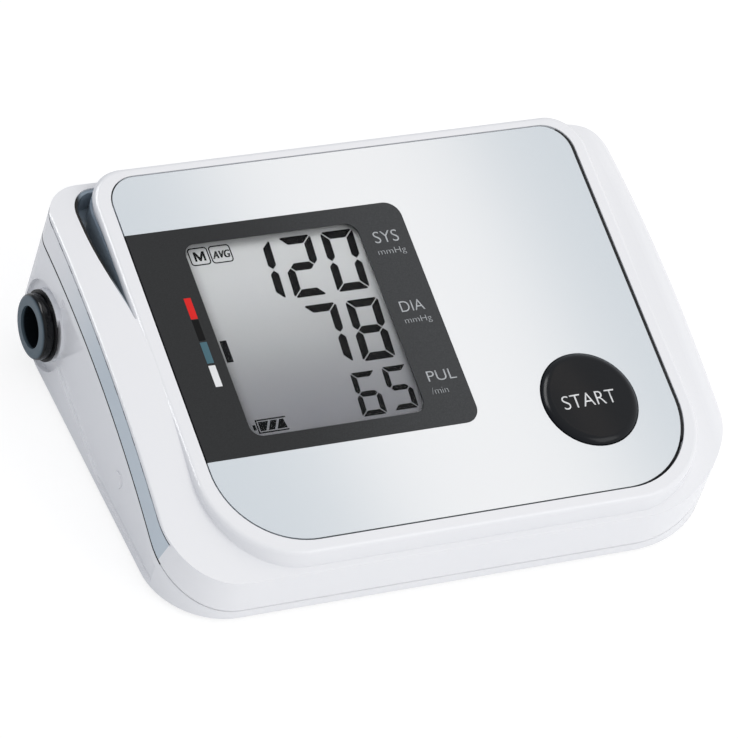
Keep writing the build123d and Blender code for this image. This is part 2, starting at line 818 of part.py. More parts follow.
with BuildPart() as lcd_holder:
    with BuildSketch(face.offset(-board_depth)):
        with Locations((window_x, window_y)):
            Rectangle(holder_width, holder_height)
            Rectangle(
                glass_width - 2 * holder_ledge, glass_height + 2 * loose_fit, mode=Mode.SUBTRACT
            )
    extrude(amount=board_depth - glass_depth - holder_drop)
    with BuildSketch(face.offset(-glass_depth - glass_thick)):
        with Locations((window_x, window_y)):
            Rectangle(glass_width + 2 * loose_fit, glass_height + 2 * loose_fit)
    extrude(amount=glass_thick, mode=Mode.SUBTRACT)
lcd_holder.part.label = "lcd_holder"
export_step(lcd_holder.part, "parts/lcd_holder.step")

with BuildPart() as zebra_strips:
    with BuildSketch(face.offset(-board_depth)):
        with Locations((window_x, window_y)):
            with GridLocations(0, glass_height - zebra_width, 1, 2):
                Rectangle(glass_width - 2 * holder_ledge - 2 * loose_fit, zebra_width)
    extrude(amount=board_depth - glass_depth - glass_thick)
zebra_strips.part.label = "zebra_strips"
export_step(zebra_strips.part, "parts/zebra_strips.step")

# ---------------------------------------------------------------- start button
button_axis = Axis(face_point(button_x, button_y), out)
button_side = Plane(
    origin=face_point(button_x, button_y), x_dir=(1, 0, 0), z_dir=(0, -out[2], out[1])
)
flange_top = -ceiling - 2 * close_fit
flange_low = flange_top - button_flange_thick
cap_roof = button_edge - button_wall
plunger_top = -board_depth + switch_height + plunger_proud
dome_radius = ((button_radius - button_bevel) ** 2 + button_dome**2) / (2 * button_dome)
half_rise = math.sqrt(dome_radius**2 - ((button_radius - button_bevel) / 2) ** 2) - dome_radius + button_dome
with BuildPart() as start_button:
    with BuildSketch(button_side):
        with BuildLine():
            rim = (button_radius - button_bevel, button_edge)
            crown = (0, button_edge + button_dome)
            Polyline(
                crown, (0, plunger_top + close_fit), (stem_radius, plunger_top + close_fit),
                (stem_radius, cap_roof), (button_radius - button_wall, cap_roof),
                (button_radius - button_wall, flange_low),
                (button_radius + button_flange, flange_low),
                (button_radius + button_flange, flange_top), (button_radius, flange_top),
                (button_radius, button_edge - button_fall),
            )
            ThreePointArc(
                (button_radius, button_edge - button_fall),
                (button_radius - 0.36 * button_bevel, button_edge - 0.36 * button_fall), rim,
            )
            ThreePointArc(rim, (rim[0] / 2, button_edge + half_rise), crown)
        make_face()
    revolve(axis=button_axis)
start_button.part.label = "start_button"
export_step(start_button.part, "parts/start_button.step")

with BuildPart() as switch_plunger:
    with BuildSketch(face.offset(plunger_top)):
        with Locations((button_x, button_y)):
            Circle(plunger_radius)
    extrude(amount=-(plunger_proud + plunger_deep))
switch_plunger.part.label = "switch_plunger"
export_step(switch_plunger.part, "parts/switch_plunger.step")

with BuildPart() as tact_switch:
    with BuildSketch(face.offset(-board_depth)):
        with Locations((button_x, button_y)):
            Rectangle(switch_size, switch_size)
    extrude(amount=switch_height)
    with BuildSketch(face.offset(-board_depth + switch_height)):
        with Locations((button_x, button_y)):
            Circle(plunger_radius + close_fit)
    extrude(amount=-(plunger_deep + button_travel + 2 * close_fit), mode=Mode.SUBTRACT)
tact_switch.part.label = "tact_switch"
export_step(tact_switch.part, "parts/tact_switch.step")


def coil(start, direction, radius, height, turns, wire):
    """A round-wire compression spring that stands on `start`."""
    with BuildPart() as spring:
        with BuildLine() as path:
            Helix(
                (height - 2 * wire) / turns, height - 2 * wire, radius,
                center=Vector(*start) + Vector(*direction) * wire, direction=direction,
            )
        with BuildSketch(Plane(origin=path.line @ 0, z_dir=path.line % 0)):
            Circle(wire)
        sweep(path=path.line, is_frenet=True)
    return spring.part


with BuildPart() as button_spring:
    add(
        coil(
            face_point(button_x, button_y, board_depth), out, spring_radius,
            board_depth + cap_roof, spring_turns, spring_wire,
        )
    )
button_spring.part.label = "button_spring"
export_step(button_spring.part, "parts/button_spring.step")

# ---------------------------------------------------------------- main board
with BuildPart() as main_board:
    with BuildSketch(face.offset(-board_under)):
        with Locations(((board_left + board_right) / 2, (board_top + board_bottom) / 2)):
            RectangleRounded(board_right - board_left, board_top - board_bottom, board_corner)
        with Locations(*post_points):
            Circle(pilot_radius + loose_fit, mode=Mode.SUBTRACT)
    extrude(amount=board_thick)
main_board.part.label = "main_board"
export_step(main_board.part, "parts/main_board.step")

with BuildPart() as board_screws:
    with BuildSketch(face.offset(-board_under)):
        with Locations(*post_points):
            Circle(board_screw_head)
    extrude(amount=-board_head_thick)
    with BuildSketch(face.offset(-board_under)):
        with Locations(*post_points):
            Circle(pilot_radius - close_fit)
    extrude(amount=board_screw_length)
    with BuildSketch(face.offset(-board_under - board_head_thick)):
        with Locations(*post_points):
            Rectangle(cross_length, cross_width)
            Rectangle(cross_width, cross_length)
    extrude(amount=board_head_thick / 2, mode=Mode.SUBTRACT)
board_screws.part.label = "board_screws"
export_step(board_screws.part, "parts/board_screws.step")

with BuildPart() as processor_chip:
    with BuildSketch(face.offset(-board_under)):
        with Locations(chip_point):
            Rectangle(chip_size, chip_size)
    extrude(amount=-chip_thick)
    chamfer(processor_chip.faces().sort_by(Axis.Z)[0].edges(), chip_thick / 5)
processor_chip.part.label = "processor_chip"
export_step(processor_chip.part, "parts/processor_chip.step")

with BuildPart() as buzzer:
    with BuildSketch(face.offset(-board_under)):
        with Locations(buzzer_point):
            Circle(buzzer_radius)
    extrude(amount=-buzzer_height)
    with BuildSketch(face.offset(-board_under - buzzer_height)):
        with Locations(buzzer_point):
            Circle(buzzer_radius / 5)
    extrude(amount=buzzer_height / 2, mode=Mode.SUBTRACT)
buzzer.part.label = "buzzer"
export_step(buzzer.part, "parts/buzzer.step")

with BuildPart() as capacitors:
    with BuildSketch(face.offset(-board_under)):
        with Locations(*capacitor_points):
            Circle(capacitor_radius)
    extrude(amount=-capacitor_height)
    fillet(
        capacitors.edges().filter_by(GeomType.CIRCLE).group_by(Axis((0, 0, 0), out))[0],
        capacitor_radius / 5,
    )
capacitors.part.label = "capacitors"
export_step(capacitors.part, "parts/capacitors.step")

# ---------------------------------------------------------------- air line
with BuildPart() as pressure_sensor:
    with BuildSketch(face.offset(-board_under)):
        with Locations((sensor_x, air_up)):
            RectangleRounded(sensor_width, sensor_width, 1.0)
    extrude(amount=-sensor_height)
    with BuildSketch(face.offset(-board_under - sensor_height)):
        with Locations((sensor_x, air_up)):
            Circle(barb_radius)
    extrude(amount=-branch_barb)
    with BuildSketch(face.offset(-board_under - sensor_height - branch_barb)):
        with Locations((sensor_x, air_up)):
            Circle(airway)
    extrude(amount=branch_barb + sensor_height / 2, mode=Mode.SUBTRACT)
pressure_sensor.part.label = "pressure_sensor"
export_step(pressure_sensor.part, "parts/pressure_sensor.step")

valve_right = valve_x + valve_width / 2
plunger_plane = Plane(
    origin=face_point(valve_right, air_up, board_under + valve_height / 2), z_dir=(1, 0, 0)
)
with BuildPart() as release_valve:
    with BuildSketch(face.offset(-board_under)):
        with Locations((valve_x, air_up)):
            RectangleRounded(valve_width, valve_depth, 1.0)
    extrude(amount=-valve_height)
    with BuildSketch(face.offset(-board_under - valve_height)):
        with Locations((valve_x, air_up)):
            Circle(barb_radius)
    extrude(amount=-branch_barb)
    with BuildSketch(face.offset(-board_under - valve_height - branch_barb)):
        with Locations((valve_x, air_up)):
            Circle(airway)
    extrude(amount=branch_barb + valve_height / 4, mode=Mode.SUBTRACT)
    with BuildSketch(plunger_plane):
        Circle(valve_pin_radius + close_fit)
    extrude(amount=-valve_pin_deep - 1.5 * valve_travel, mode=Mode.SUBTRACT)
release_valve.part.label = "release_valve"
export_step(release_valve.part, "parts/release_valve.step")

with BuildPart() as valve_plunger:
    with BuildSketch(plunger_plane.offset(-valve_pin_deep)):
        Circle(valve_pin_radius)
    extrude(amount=valve_pin_deep + 1.2 * valve_travel)
    chamfer(valve_plunger.edges().sort_by(Axis.X)[-1], valve_pin_radius / 5)
valve_plunger.part.label = "valve_plunger"
export_step(valve_plunger.part, "parts/valve_plunger.step")

with BuildPart() as air_manifold:
    with BuildSketch(across(manifold_left)):
        with Locations((socket_y, socket_z)):
            RectangleRounded(manifold_size, manifold_size, 1.0, tilt)
    extrude(amount=manifold_right - manifold_left)
    with BuildSketch(across(manifold_left - barb_length)):
        with Locations((socket_y, socket_z)):
            Circle(barb_radius)
    extrude(amount=manifold_right - manifold_left + 2 * barb_length)
    for x in (sensor_x, valve_x):
        with BuildSketch(branch(x)):
            Circle(barb_radius)
        extrude(amount=manifold_size / 2 + branch_barb)
    with BuildSketch(across(manifold_left - barb_length)):
        with Locations((socket_y, socket_z)):
            Circle(airway)
    extrude(amount=manifold_right - manifold_left + 2 * barb_length, mode=Mode.SUBTRACT)
    for x in (sensor_x, valve_x):
        with BuildSketch(branch(x)):
            Circle(airway)
        extrude(amount=manifold_size / 2 + branch_barb, mode=Mode.SUBTRACT)
air_manifold.part.label = "air_manifold"
export_step(air_manifold.part, "parts/air_manifold.step")

with BuildPart() as socket_tube:
    with BuildSketch(across(socket_inner + close_fit)):
        with Locations((socket_y, socket_z)):
            Circle(tube_outer)
            Circle(barb_radius + snug_fit, mode=Mode.SUBTRACT)
    extrude(amount=manifold_left - socket_inner - 2 * close_fit)
socket_tube.part.label = "socket_tube"
export_step(socket_tube.part, "parts/socket_tube.step")

with BuildPart() as pump_tube:
    with BuildSketch(across(manifold_right + close_fit)):
        with Locations((socket_y, socket_z)):
            Circle(tube_outer)
            Circle(barb_radius + snug_fit, mode=Mode.SUBTRACT)
    extrude(amount=pump_left - manifold_right - 2 * close_fit)
pump_tube.part.label = "pump_tube"
export_step(pump_tube.part, "parts/pump_tube.step")

with BuildPart() as sensor_tube:
    with BuildSketch(branch(sensor_x).offset(manifold_size / 2 + close_fit)):
        Circle(tube_outer)
        Circle(barb_radius + snug_fit, mode=Mode.SUBTRACT)
    extrude(amount=air_depth - manifold_size / 2 - board_under - sensor_height - 2 * close_fit)
sensor_tube.part.label = "sensor_tube"
export_step(sensor_tube.part, "parts/sensor_tube.step")

with BuildPart() as valve_tube:
    with BuildSketch(branch(valve_x).offset(manifold_size / 2 + close_fit)):
        Circle(tube_outer)
        Circle(barb_radius + snug_fit, mode=Mode.SUBTRACT)
    extrude(amount=air_depth - manifold_size / 2 - board_under - valve_height - 2 * close_fit)
valve_tube.part.label = "valve_tube"
export_step(valve_tube.part, "parts/valve_tube.step")

# ---------------------------------------------------------------- cuff socket
with BuildPart() as cuff_socket:
    with BuildSketch(across(-half_width - socket_proud)):
        with Locations((socket_y, socket_z)):
            Circle(socket_radius)
    extrude(amount=socket_proud - flange_thick)
    fillet(cuff_socket.edges().filter_by(GeomType.CIRCLE).sort_by(Axis.X)[0], socket_round)
    with BuildSketch(across(-half_width - flange_thick)):
        with Locations((socket_y, socket_z)):
            Circle(socket_neck)
    extrude(amount=socket_inner + half_width + flange_thick)
    with BuildSketch(across(socket_inner)):
        with Locations((socket_y, socket_z)):
            Circle(barb_radius)
    extrude(amount=barb_length)
    with BuildSketch(across(-half_width - socket_proud)):
        with Locations((socket_y, socket_z)):
            Circle(socket_bore)
    extrude(amount=socket_bore_depth, mode=Mode.SUBTRACT)
    with BuildSketch(across(-half_width)):
        with Locations((socket_y, socket_z)):
            Circle(airway)
    extrude(amount=socket_inner + half_width + barb_length, mode=Mode.SUBTRACT)
cuff_socket.part.label = "cuff_socket"
export_step(cuff_socket.part, "parts/cuff_socket.step")

with BuildPart() as socket_washer:
    with BuildSketch(across(-half_width)):
        with Locations((socket_y, socket_z)):
            Circle(flange_radius)
            Circle(socket_neck + close_fit, mode=Mode.SUBTRACT)
    extrude(amount=-flange_thick)
socket_washer.part.label = "socket_washer"
export_step(socket_washer.part, "parts/socket_washer.step")

with BuildPart() as socket_nut:
    with BuildSketch(across(-half_width + wall)):
        with Locations((socket_y, socket_z)):
            RegularPolygon(nut_radius, 6)
            Circle(socket_neck + close_fit, mode=Mode.SUBTRACT)
    extrude(amount=nut_thick)
socket_nut.part.label = "socket_nut"
export_step(socket_nut.part, "parts/socket_nut.step")

# ---------------------------------------------------------------- pump
with BuildPart() as pump_head:
    with BuildSketch(across(pump_left)):
        with Locations((pump_y, pump_z)):
            RectangleRounded(2 * head_half, 2 * head_half, head_corner)
    extrude(amount=valve_plate_length)
    with BuildSketch(across(pump_left)):
        with Locations((socket_y, socket_z)):
            Circle(barb_radius)
    extrude(amount=-barb_length)
    with BuildSketch(across(pump_left - barb_length)):
        with Locations((socket_y, socket_z)):
            Circle(airway)
    extrude(amount=barb_length + valve_plate_length / 2, mode=Mode.SUBTRACT)
pump_head.part.label = "pump_head"
export_step(pump_head.part, "parts/pump_head.step")

with BuildPart() as pump_diaphragm:
    with BuildSketch(across(diaphragm_x)):
        with Locations((pump_y, pump_z)):
            RectangleRounded(2 * head_half, 2 * head_half, head_corner)
    extrude(amount=diaphragm_thick)
pump_diaphragm.part.label = "pump_diaphragm"
export_step(pump_diaphragm.part, "parts/pump_diaphragm.step")

with BuildPart() as pump_crankcase:
    with BuildSketch(across(crankcase_x)):
        with Locations((pump_y, pump_z)):
            RectangleRounded(2 * head_half, 2 * head_half, head_corner)
    extrude(amount=crankcase_length)
    with BuildSketch(across(crankcase_x)):
        with Locations((pump_y, pump_z)):
            Circle(crank_room)
    extrude(amount=crankcase_length - case_floor, mode=Mode.SUBTRACT)
    with BuildSketch(across(crankcase_x)):
        with Locations((pump_y, pump_z)):
            Circle(2 * shaft_radius)
    extrude(amount=crankcase_length, mode=Mode.SUBTRACT)
pump_crankcase.part.label = "pump_crankcase"
export_step(pump_crankcase.part, "parts/pump_crankcase.step")

with BuildPart() as pump_motor:
    with BuildSketch(across(motor_x)):
        with Locations((pump_y, pump_z)):
            Circle(motor_radius)
    extrude(amount=motor_length - end_cap_thick)
    fillet(pump_motor.edges().filter_by(GeomType.CIRCLE).sort_by(Axis.X)[0], can_wall)
    with BuildSketch(across(motor_x + 2 * can_wall)):
        with Locations((pump_y, pump_z)):
            Circle(motor_radius - can_wall)
    extrude(amount=motor_length, mode=Mode.SUBTRACT)
    with BuildSketch(across(motor_x)):
        with Locations((pump_y, pump_z)):
            Circle(shaft_radius + shaft_fit)
    extrude(amount=motor_length, mode=Mode.SUBTRACT)
pump_motor.part.label = "pump_motor"
export_step(pump_motor.part, "parts/pump_motor.step")

with BuildPart() as motor_end_cap:
    with BuildSketch(across(motor_end - end_cap_thick)):
        with Locations((pump_y, pump_z)):
            Circle(motor_radius)
    extrude(amount=end_cap_thick)
    with BuildSketch(across(motor_end - end_cap_thick)):
        with Locations((pump_y, pump_z)):
            Circle(shaft_radius + shaft_fit)
    extrude(amount=end_cap_thick - can_wall, mode=Mode.SUBTRACT)
motor_end_cap.part.label = "motor_end_cap"
export_step(motor_end_cap.part, "parts/motor_end_cap.step")

with BuildPart() as motor_magnets:
    with BuildSketch(across(rotor_x)):
        with Locations((pump_y, pump_z)):
            Circle(motor_radius - can_wall - snug_fit)
            Circle(rotor_radius + rotor_gap, mode=Mode.SUBTRACT)
            Rectangle(magnet_split, 2 * motor_radius, mode=Mode.SUBTRACT)
    extrude(amount=rotor_length)
motor_magnets.part.label = "motor_magnets"
export_step(motor_magnets.part, "parts/motor_magnets.step")

with BuildPart() as motor_rotor:
    shaft_start = crankcase_x + crank_gap
    with BuildSketch(across(shaft_start)):
        with Locations((pump_y, pump_z)):
            Circle(shaft_radius)
    extrude(amount=motor_end - can_wall - close_fit - shaft_start)
    with BuildSketch(across(rotor_x)):
        with Locations((pump_y, pump_z)):
            Circle(rotor_radius)
            with PolarLocations(rotor_radius, 5):
                Rectangle(rotor_slot_depth, rotor_slot, mode=Mode.SUBTRACT)
    extrude(amount=rotor_length)
motor_rotor.part.label = "motor_rotor"
export_step(motor_rotor.part, "parts/motor_rotor.step")

with BuildPart() as pump_crank:
    with BuildSketch(across(shaft_start)):
        with Locations((pump_y, pump_z - crank_throw)):
            Circle(crank_radius)
        with Locations((pump_y, pump_z)):
            Circle(shaft_radius + snug_fit, mode=Mode.SUBTRACT)
    extrude(amount=crank_thick)
pump_crank.part.label = "pump_crank"
export_step(pump_crank.part, "parts/pump_crank.step")

with BuildPart() as pump_sleeve:
    with BuildSketch(across(motor_x + sleeve_inset)):
        with Locations((pump_y, pump_z)):
            Circle(sleeve_radius)
            Circle(motor_radius + snug_fit, mode=Mode.SUBTRACT)
    extrude(amount=motor_length - 2 * sleeve_inset)
pump_sleeve.part.label = "pump_sleeve"
export_step(pump_sleeve.part, "parts/pump_sleeve.step")

# ---------------------------------------------------------------- battery bay
row_y = (bay_y - row_pitch / 2, bay_y + row_pitch / 2)
cell_pitch = cell_length + nub_length + close_fit
with BuildPart() as batteries:
    for y, way in zip(row_y, (1, -1)):
        for start in (-cell_pitch, 0):
            base = start if way > 0 else -start
            with BuildSketch(across(base)):
                with Locations((y, cell_z)):
                    Circle(cell_radius)
            extrude(amount=way * cell_length)
            with BuildSketch(across(base + way * cell_length)):
                with Locations((y, cell_z)):
                    Circle(nub_radius)
            extrude(amount=way * nub_length)
batteries.part.label = "batteries"
export_step(batteries.part, "parts/batteries.step")

contact_x = bay_half_length - contact_thick
dimple_reach = contact_x - cell_pitch
with BuildPart() as battery_bridge:
    with BuildSketch(across(contact_x)):
        with Locations((bay_y, cell_z)):
            Rectangle(row_pitch + contact_size, contact_size)
    extrude(amount=contact_thick)
    with BuildSketch(across(contact_x)):
        with Locations((row_y[0], cell_z)):
            Circle(nub_radius)
    extrude(amount=-dimple_reach, taper=8)
battery_bridge.part.label = "battery_bridge"
export_step(battery_bridge.part, "parts/battery_bridge.step")

with BuildPart() as battery_terminals:
    with BuildSketch(across(-bay_half_length)):
        with Locations((row_y[0], cell_z), (row_y[1], cell_z)):
            Rectangle(contact_size, contact_size)
    extrude(amount=contact_thick)
    with BuildSketch(across(-contact_x)):
        with Locations((row_y[1], cell_z)):
            Circle(nub_radius)
    extrude(amount=dimple_reach, taper=8)
battery_terminals.part.label = "battery_terminals"
export_step(battery_terminals.part, "parts/battery_terminals.step")

with BuildPart() as battery_springs:
    add(
        coil(
            (housing_x - contact_x, row_y[0], cell_z), (1, 0, 0), coil_radius,
            dimple_reach, coil_turns, coil_wire,
        )
    )
    add(
        coil(
            (housing_x + contact_x, row_y[1], cell_z), (-1, 0, 0), coil_radius,
            dimple_reach, coil_turns, coil_wire,
        )
    )
battery_springs.part.label = "battery_springs"
export_step(battery_springs.part, "parts/battery_springs.step")

# ---------------------------------------------------------------- slot, feet and screws
with BuildPart() as liner_wing:
    add(slot_form(liner_wall, slot_depth, -liner_side))
    split(bisect_by=face.offset(-liner_seat - close_fit), keep=Keep.BOTTOM)

with BuildPart() as slot_liner:
    add(slot_form(liner_wall, slot_depth, slot_free))
    add(liner_wing.part)
    add(slot_form(0, slot_depth - liner_wall, 0), mode=Mode.SUBTRACT)
    add(body_form(liner_drop), mode=Mode.INTERSECT)
slot_liner.part.label = "slot_liner"
export_step(slot_liner.part, "parts/slot_liner.step")

with BuildPart() as rubber_feet:
    with BuildSketch(ground):
        with Locations(*foot_points):
            Circle(foot_radius)
    extrude(amount=foot_height + foot_sink)
    fillet(rubber_feet.edges().group_by(Axis.Z)[0], foot_height / 3)
rubber_feet.part.label = "rubber_feet"
export_step(rubber_feet.part, "parts/rubber_feet.step")

with BuildPart() as housing_screws:
    with BuildSketch(underside.offset(screw_sink - screw_head_thick)):
        with Locations(*boss_points):
            Circle(screw_head)
    extrude(amount=screw_head_thick)
    with BuildSketch(underside.offset(screw_sink)):
        with Locations(*boss_points):
            Circle(screw_radius)
    extrude(amount=screw_length)
    with BuildSketch(underside.offset(screw_sink - screw_head_thick)):
        with Locations(*boss_points):
            Rectangle(cross_length, cross_width)
            Rectangle(cross_width, cross_length)
    extrude(amount=screw_head_thick / 2, mode=Mode.SUBTRACT)
housing_screws.part.label = "housing_screws"
export_step(housing_screws.part, "parts/housing_screws.step")
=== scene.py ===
import math
import bpy
from mathutils import Matrix, Vector


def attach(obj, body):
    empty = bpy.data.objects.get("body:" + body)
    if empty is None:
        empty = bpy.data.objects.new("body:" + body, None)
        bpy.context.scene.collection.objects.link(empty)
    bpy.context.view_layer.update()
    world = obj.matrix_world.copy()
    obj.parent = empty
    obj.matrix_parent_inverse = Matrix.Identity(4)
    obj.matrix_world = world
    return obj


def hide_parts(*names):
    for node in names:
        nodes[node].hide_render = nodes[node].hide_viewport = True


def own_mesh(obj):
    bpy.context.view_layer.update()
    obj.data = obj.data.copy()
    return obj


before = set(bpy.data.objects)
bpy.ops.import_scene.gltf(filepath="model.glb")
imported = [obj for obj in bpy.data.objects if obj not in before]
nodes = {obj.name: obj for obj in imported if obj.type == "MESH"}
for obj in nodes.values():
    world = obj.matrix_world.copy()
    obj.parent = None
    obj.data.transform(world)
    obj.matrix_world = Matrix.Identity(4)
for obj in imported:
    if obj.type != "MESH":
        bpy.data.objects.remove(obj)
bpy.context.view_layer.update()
mm = 0.001

# the sloping face that the display and the button sit in
face = {
    "middle": (1.6, 0.845, 30.5),  # mm
    "tilt": 14.0,  # degrees
}
faceMiddle = [v * mm for v in face["middle"]]
faceTilt = math.radians(face["tilt"])
ontoFace = Matrix.Translation(faceMiddle) @ Matrix.Rotation(faceTilt, 4, "X")
# what turns a place into mm along the face (x), up its slope (y) and out of it (z)
alongFace = {"Location": faceMiddle, "Rotation": (faceTilt, 0.0, 0.0), "Scale": (mm, mm, mm)}


def linear(hexText):
    values = [int(hexText[i:i + 2], 16) / 255 for i in (1, 3, 5)]
    return [v / 12.92 if v <= 0.04045 else ((v + 0.055) / 1.055) ** 2.4 for v in values] + [1.0]


def addNode(tree, kind, inputs=None, **settings):
    node = tree.nodes.new(kind)
    for key, value in settings.items():
        setattr(node, key, value)
    for key, value in (inputs or {}).items():
        if isinstance(value, bpy.types.NodeSocket):
            tree.links.new(value, node.inputs[key])
        else:
            node.inputs[key].default_value = value
    return node


def newTree(name):
    # an empty material, its tree and the place in it
    material = bpy.data.materials.new(name)
    material.use_nodes = True
    tree = material.node_tree
    tree.nodes.clear()
    return material, tree, addNode(tree, "ShaderNodeTexCoord").outputs["Object"]


def farFromAxis(tree, place, axis):
    # how far the place is from an axis that lies across the housing through the point (y, z)
    spoke = addNode(tree, "ShaderNodeVectorMath", {0: place, 1: (0.0, *axis)}, operation="SUBTRACT")
    upright = addNode(tree, "ShaderNodeVectorMath", {
        0: spoke.outputs[0], 1: (0.0, 1.0, 1.0)}, operation="MULTIPLY")
    return addNode(tree, "ShaderNodeVectorMath", {0: upright.outputs[0]}, operation="LENGTH").outputs["Value"]


def whereAll(tree, share, tests):
    # the share, kept only where each value is on the tested side of its limit
    for value, limit, test in tests:
        held = addNode(tree, "ShaderNodeMath", {0: value, 1: limit}, operation=test)
        share = addNode(tree, "ShaderNodeMath", {
            0: share.outputs[0], 1: held.outputs[0]}, operation="MULTIPLY")
    return share


camera = {
    "place": (-0.51075, -0.64667, 0.78376),
    "turn": (45.3146, -14.2188, -24.3462),  # degrees about x, y and z
    "lens": 237.7,
    "sensor": 36.0,
    "clip": (0.05, 20.0),
}
bpy.ops.object.select_all(action="DESELECT")
bpy.ops.object.camera_add(location=camera["place"], rotation=[math.radians(a) for a in camera["turn"]])
cameraObject = bpy.context.object
cameraObject.data.lens = camera["lens"]
cameraObject.data.sensor_width = camera["sensor"]
cameraObject.data.clip_start, cameraObject.data.clip_end = camera["clip"]
bpy.context.scene.camera = cameraObject
bpy.context.scene.view_settings.view_transform = "Standard"
print("camera set")

grainSpan = (0.3, 0.7)  # nearly all of a noise texture lies between these


# a finish of drift, grain and relief alone, all three given in mm
def makeFinish(name, look):
    material, tree, place = newTree(name)
    drift = addNode(tree, "ShaderNodeTexNoise", {
        "Vector": place, "Scale": 1 / (look["drift"] * mm), "Detail": 3.0})
    grain = addNode(tree, "ShaderNodeTexNoise", {
        "Vector": place, "Scale": 1 / (look["grain"] * mm), "Detail": 2.0})
    tone = addNode(tree, "ShaderNodeMix", {
        0: drift.outputs["Fac"], 6: linear(look["tones"][0]), 7: linear(look["tones"][1])}, data_type="RGBA")
    rough = addNode(tree, "ShaderNodeMapRange", {
        "Value": grain.outputs["Fac"], "From Min": grainSpan[0], "From Max": grainSpan[1],
        "To Min": look["roughness"][0], "To Max": look["roughness"][1]})
    relief = addNode(tree, "ShaderNodeBump", {
        "Height": grain.outputs["Fac"], "Distance": look["relief"] * mm, "Strength": 1.0})
    shader = addNode(tree, "ShaderNodeBsdfPrincipled", {
        "Base Color": tone.outputs[2], "Roughness": rough.outputs[0], "Normal": relief.outputs[0],
        "Metallic": look.get("metallic", 0.0), "IOR": look.get("ior", 1.5),
        "Specular IOR Level": look.get("shine", 0.5)})
    addNode(tree, "ShaderNodeOutputMaterial", {"Surface": shader.outputs[0]})
    return material


finishes = {
    # ABS moulded in a spark-eroded tool: a fine matt grain, as under most small devices
    "grainedWhiteAbs": {
        "tones": ("#e4e5e9", "#dcdde2"), "drift": 30, "grain": 0.5, "relief": 0.012,
        "roughness": (0.42, 0.55), "ior": 1.53},
    # ABS key cap moulded in a polished tool: deep black with a narrow soft shine
    "blackKeyAbs": {
        "tones": ("#0b0e12", "#101318"), "drift": 18, "grain": 0.8, "relief": 0.001,
        "roughness": (0.16, 0.22), "ior": 1.5, "shine": 0.2},
    # die-cut closed-cell foam: dull black, its cut cells barely showing
    "blackFoam": {
        "tones": ("#161718", "#1e1f20"), "drift": 6, "grain": 0.4, "relief": 0.05,
        "roughness": (0.75, 0.9), "ior": 1.45},
    # unfilled nylon, moulded: milky and half matt
    "naturalNylon": {
        "tones": ("#dedbcf", "#d3cfc1"), "drift": 14, "grain": 0.6, "relief": 0.01,
        "roughness": (0.4, 0.55), "ior": 1.53},
    # moulded glass-filled nylon: matt black, slightly mottled by its fibres
    "blackNylon": {
        "tones": ("#1f2022", "#2a2b2d"), "drift": 9, "grain": 0.4, "relief": 0.012,
        "roughness": (0.45, 0.6), "ior": 1.53},
    # sliced strip of carbon-loaded silicone: dull dark grey
    "zebraRubber": {
        "tones": ("#3a3a3c", "#55565a"), "drift": 2, "grain": 0.3, "relief": 0.01,
        "roughness": (0.6, 0.75), "ior": 1.41},
    # zinc-plated steel, barrel plated: bright with a soft cloud
    "zincSteel": {
        "tones": ("#c8cacc", "#b4b8bb"), "drift": 3, "grain": 0.25, "relief": 0.004,
        "roughness": (0.22, 0.38), "metallic": 1.0},
    # drawn spring wire: a slightly greyer and uneven shine
    "springSteel": {
        "tones": ("#b2b3b4", "#9c9ea0"), "drift": 1.5, "grain": 0.2, "relief": 0.003,
        "roughness": (0.2, 0.34), "metallic": 1.0},
    # stamped contact strip, nickel plated: a warm even shine
    "nickelPlate": {
        "tones": ("#cfcbc2", "#bdb9b0"), "drift": 4, "grain": 0.3, "relief": 0.003,
        "roughness": (0.18, 0.3), "metallic": 1.0},
    # impact-extruded aluminium cans, bare: bright and slightly clouded
    "extrudedAluminium": {
        "tones": ("#c9ccd0", "#b9bdc2"), "drift": 3, "grain": 0.3, "relief": 0.003,
        "roughness": (0.28, 0.42), "metallic": 1.0},
    # sintered ferrite: dark grey, dull, slightly crumbly
    "sinteredFerrite": {
        "tones": ("#38383b", "#2c2c2f"), "drift": 2.5, "grain": 0.3, "relief": 0.02,
        "roughness": (0.55, 0.7), "ior": 1.9},
    # extruded silicone tube: grey-white with a soft shine
    "siliconeTube": {
        "tones": ("#d9dbd9", "#cdd0cf"), "drift": 6, "grain": 0.7, "relief": 0.006,
        "roughness": (0.32, 0.45), "ior": 1.41},
    # cut open-cell foam sleeve: grey and fully matt, its cells showing
    "greyFoam": {
        "tones": ("#6a6c6f", "#595b5e"), "drift": 3, "grain": 0.6, "relief": 0.12,
        "roughness": (0.8, 0.95), "ior": 1.45},
    # moulded nitrile washer: oily black
    "nitrileRubber": {
        "tones": ("#0a0b0c", "#111213"), "drift": 5, "grain": 0.4, "relief": 0.002,
        "roughness": (0.3, 0.42), "ior": 1.52, "shine": 0.25},
    # moulded elastomer feet: dark grey and matt
    "footRubber": {
        "tones": ("#3a3b3d", "#303133"), "drift": 5, "grain": 0.4, "relief": 0.012,
        "roughness": (0.55, 0.7), "ior": 1.5},
}
made = {name: makeFinish(name, look) for name, look in finishes.items()}

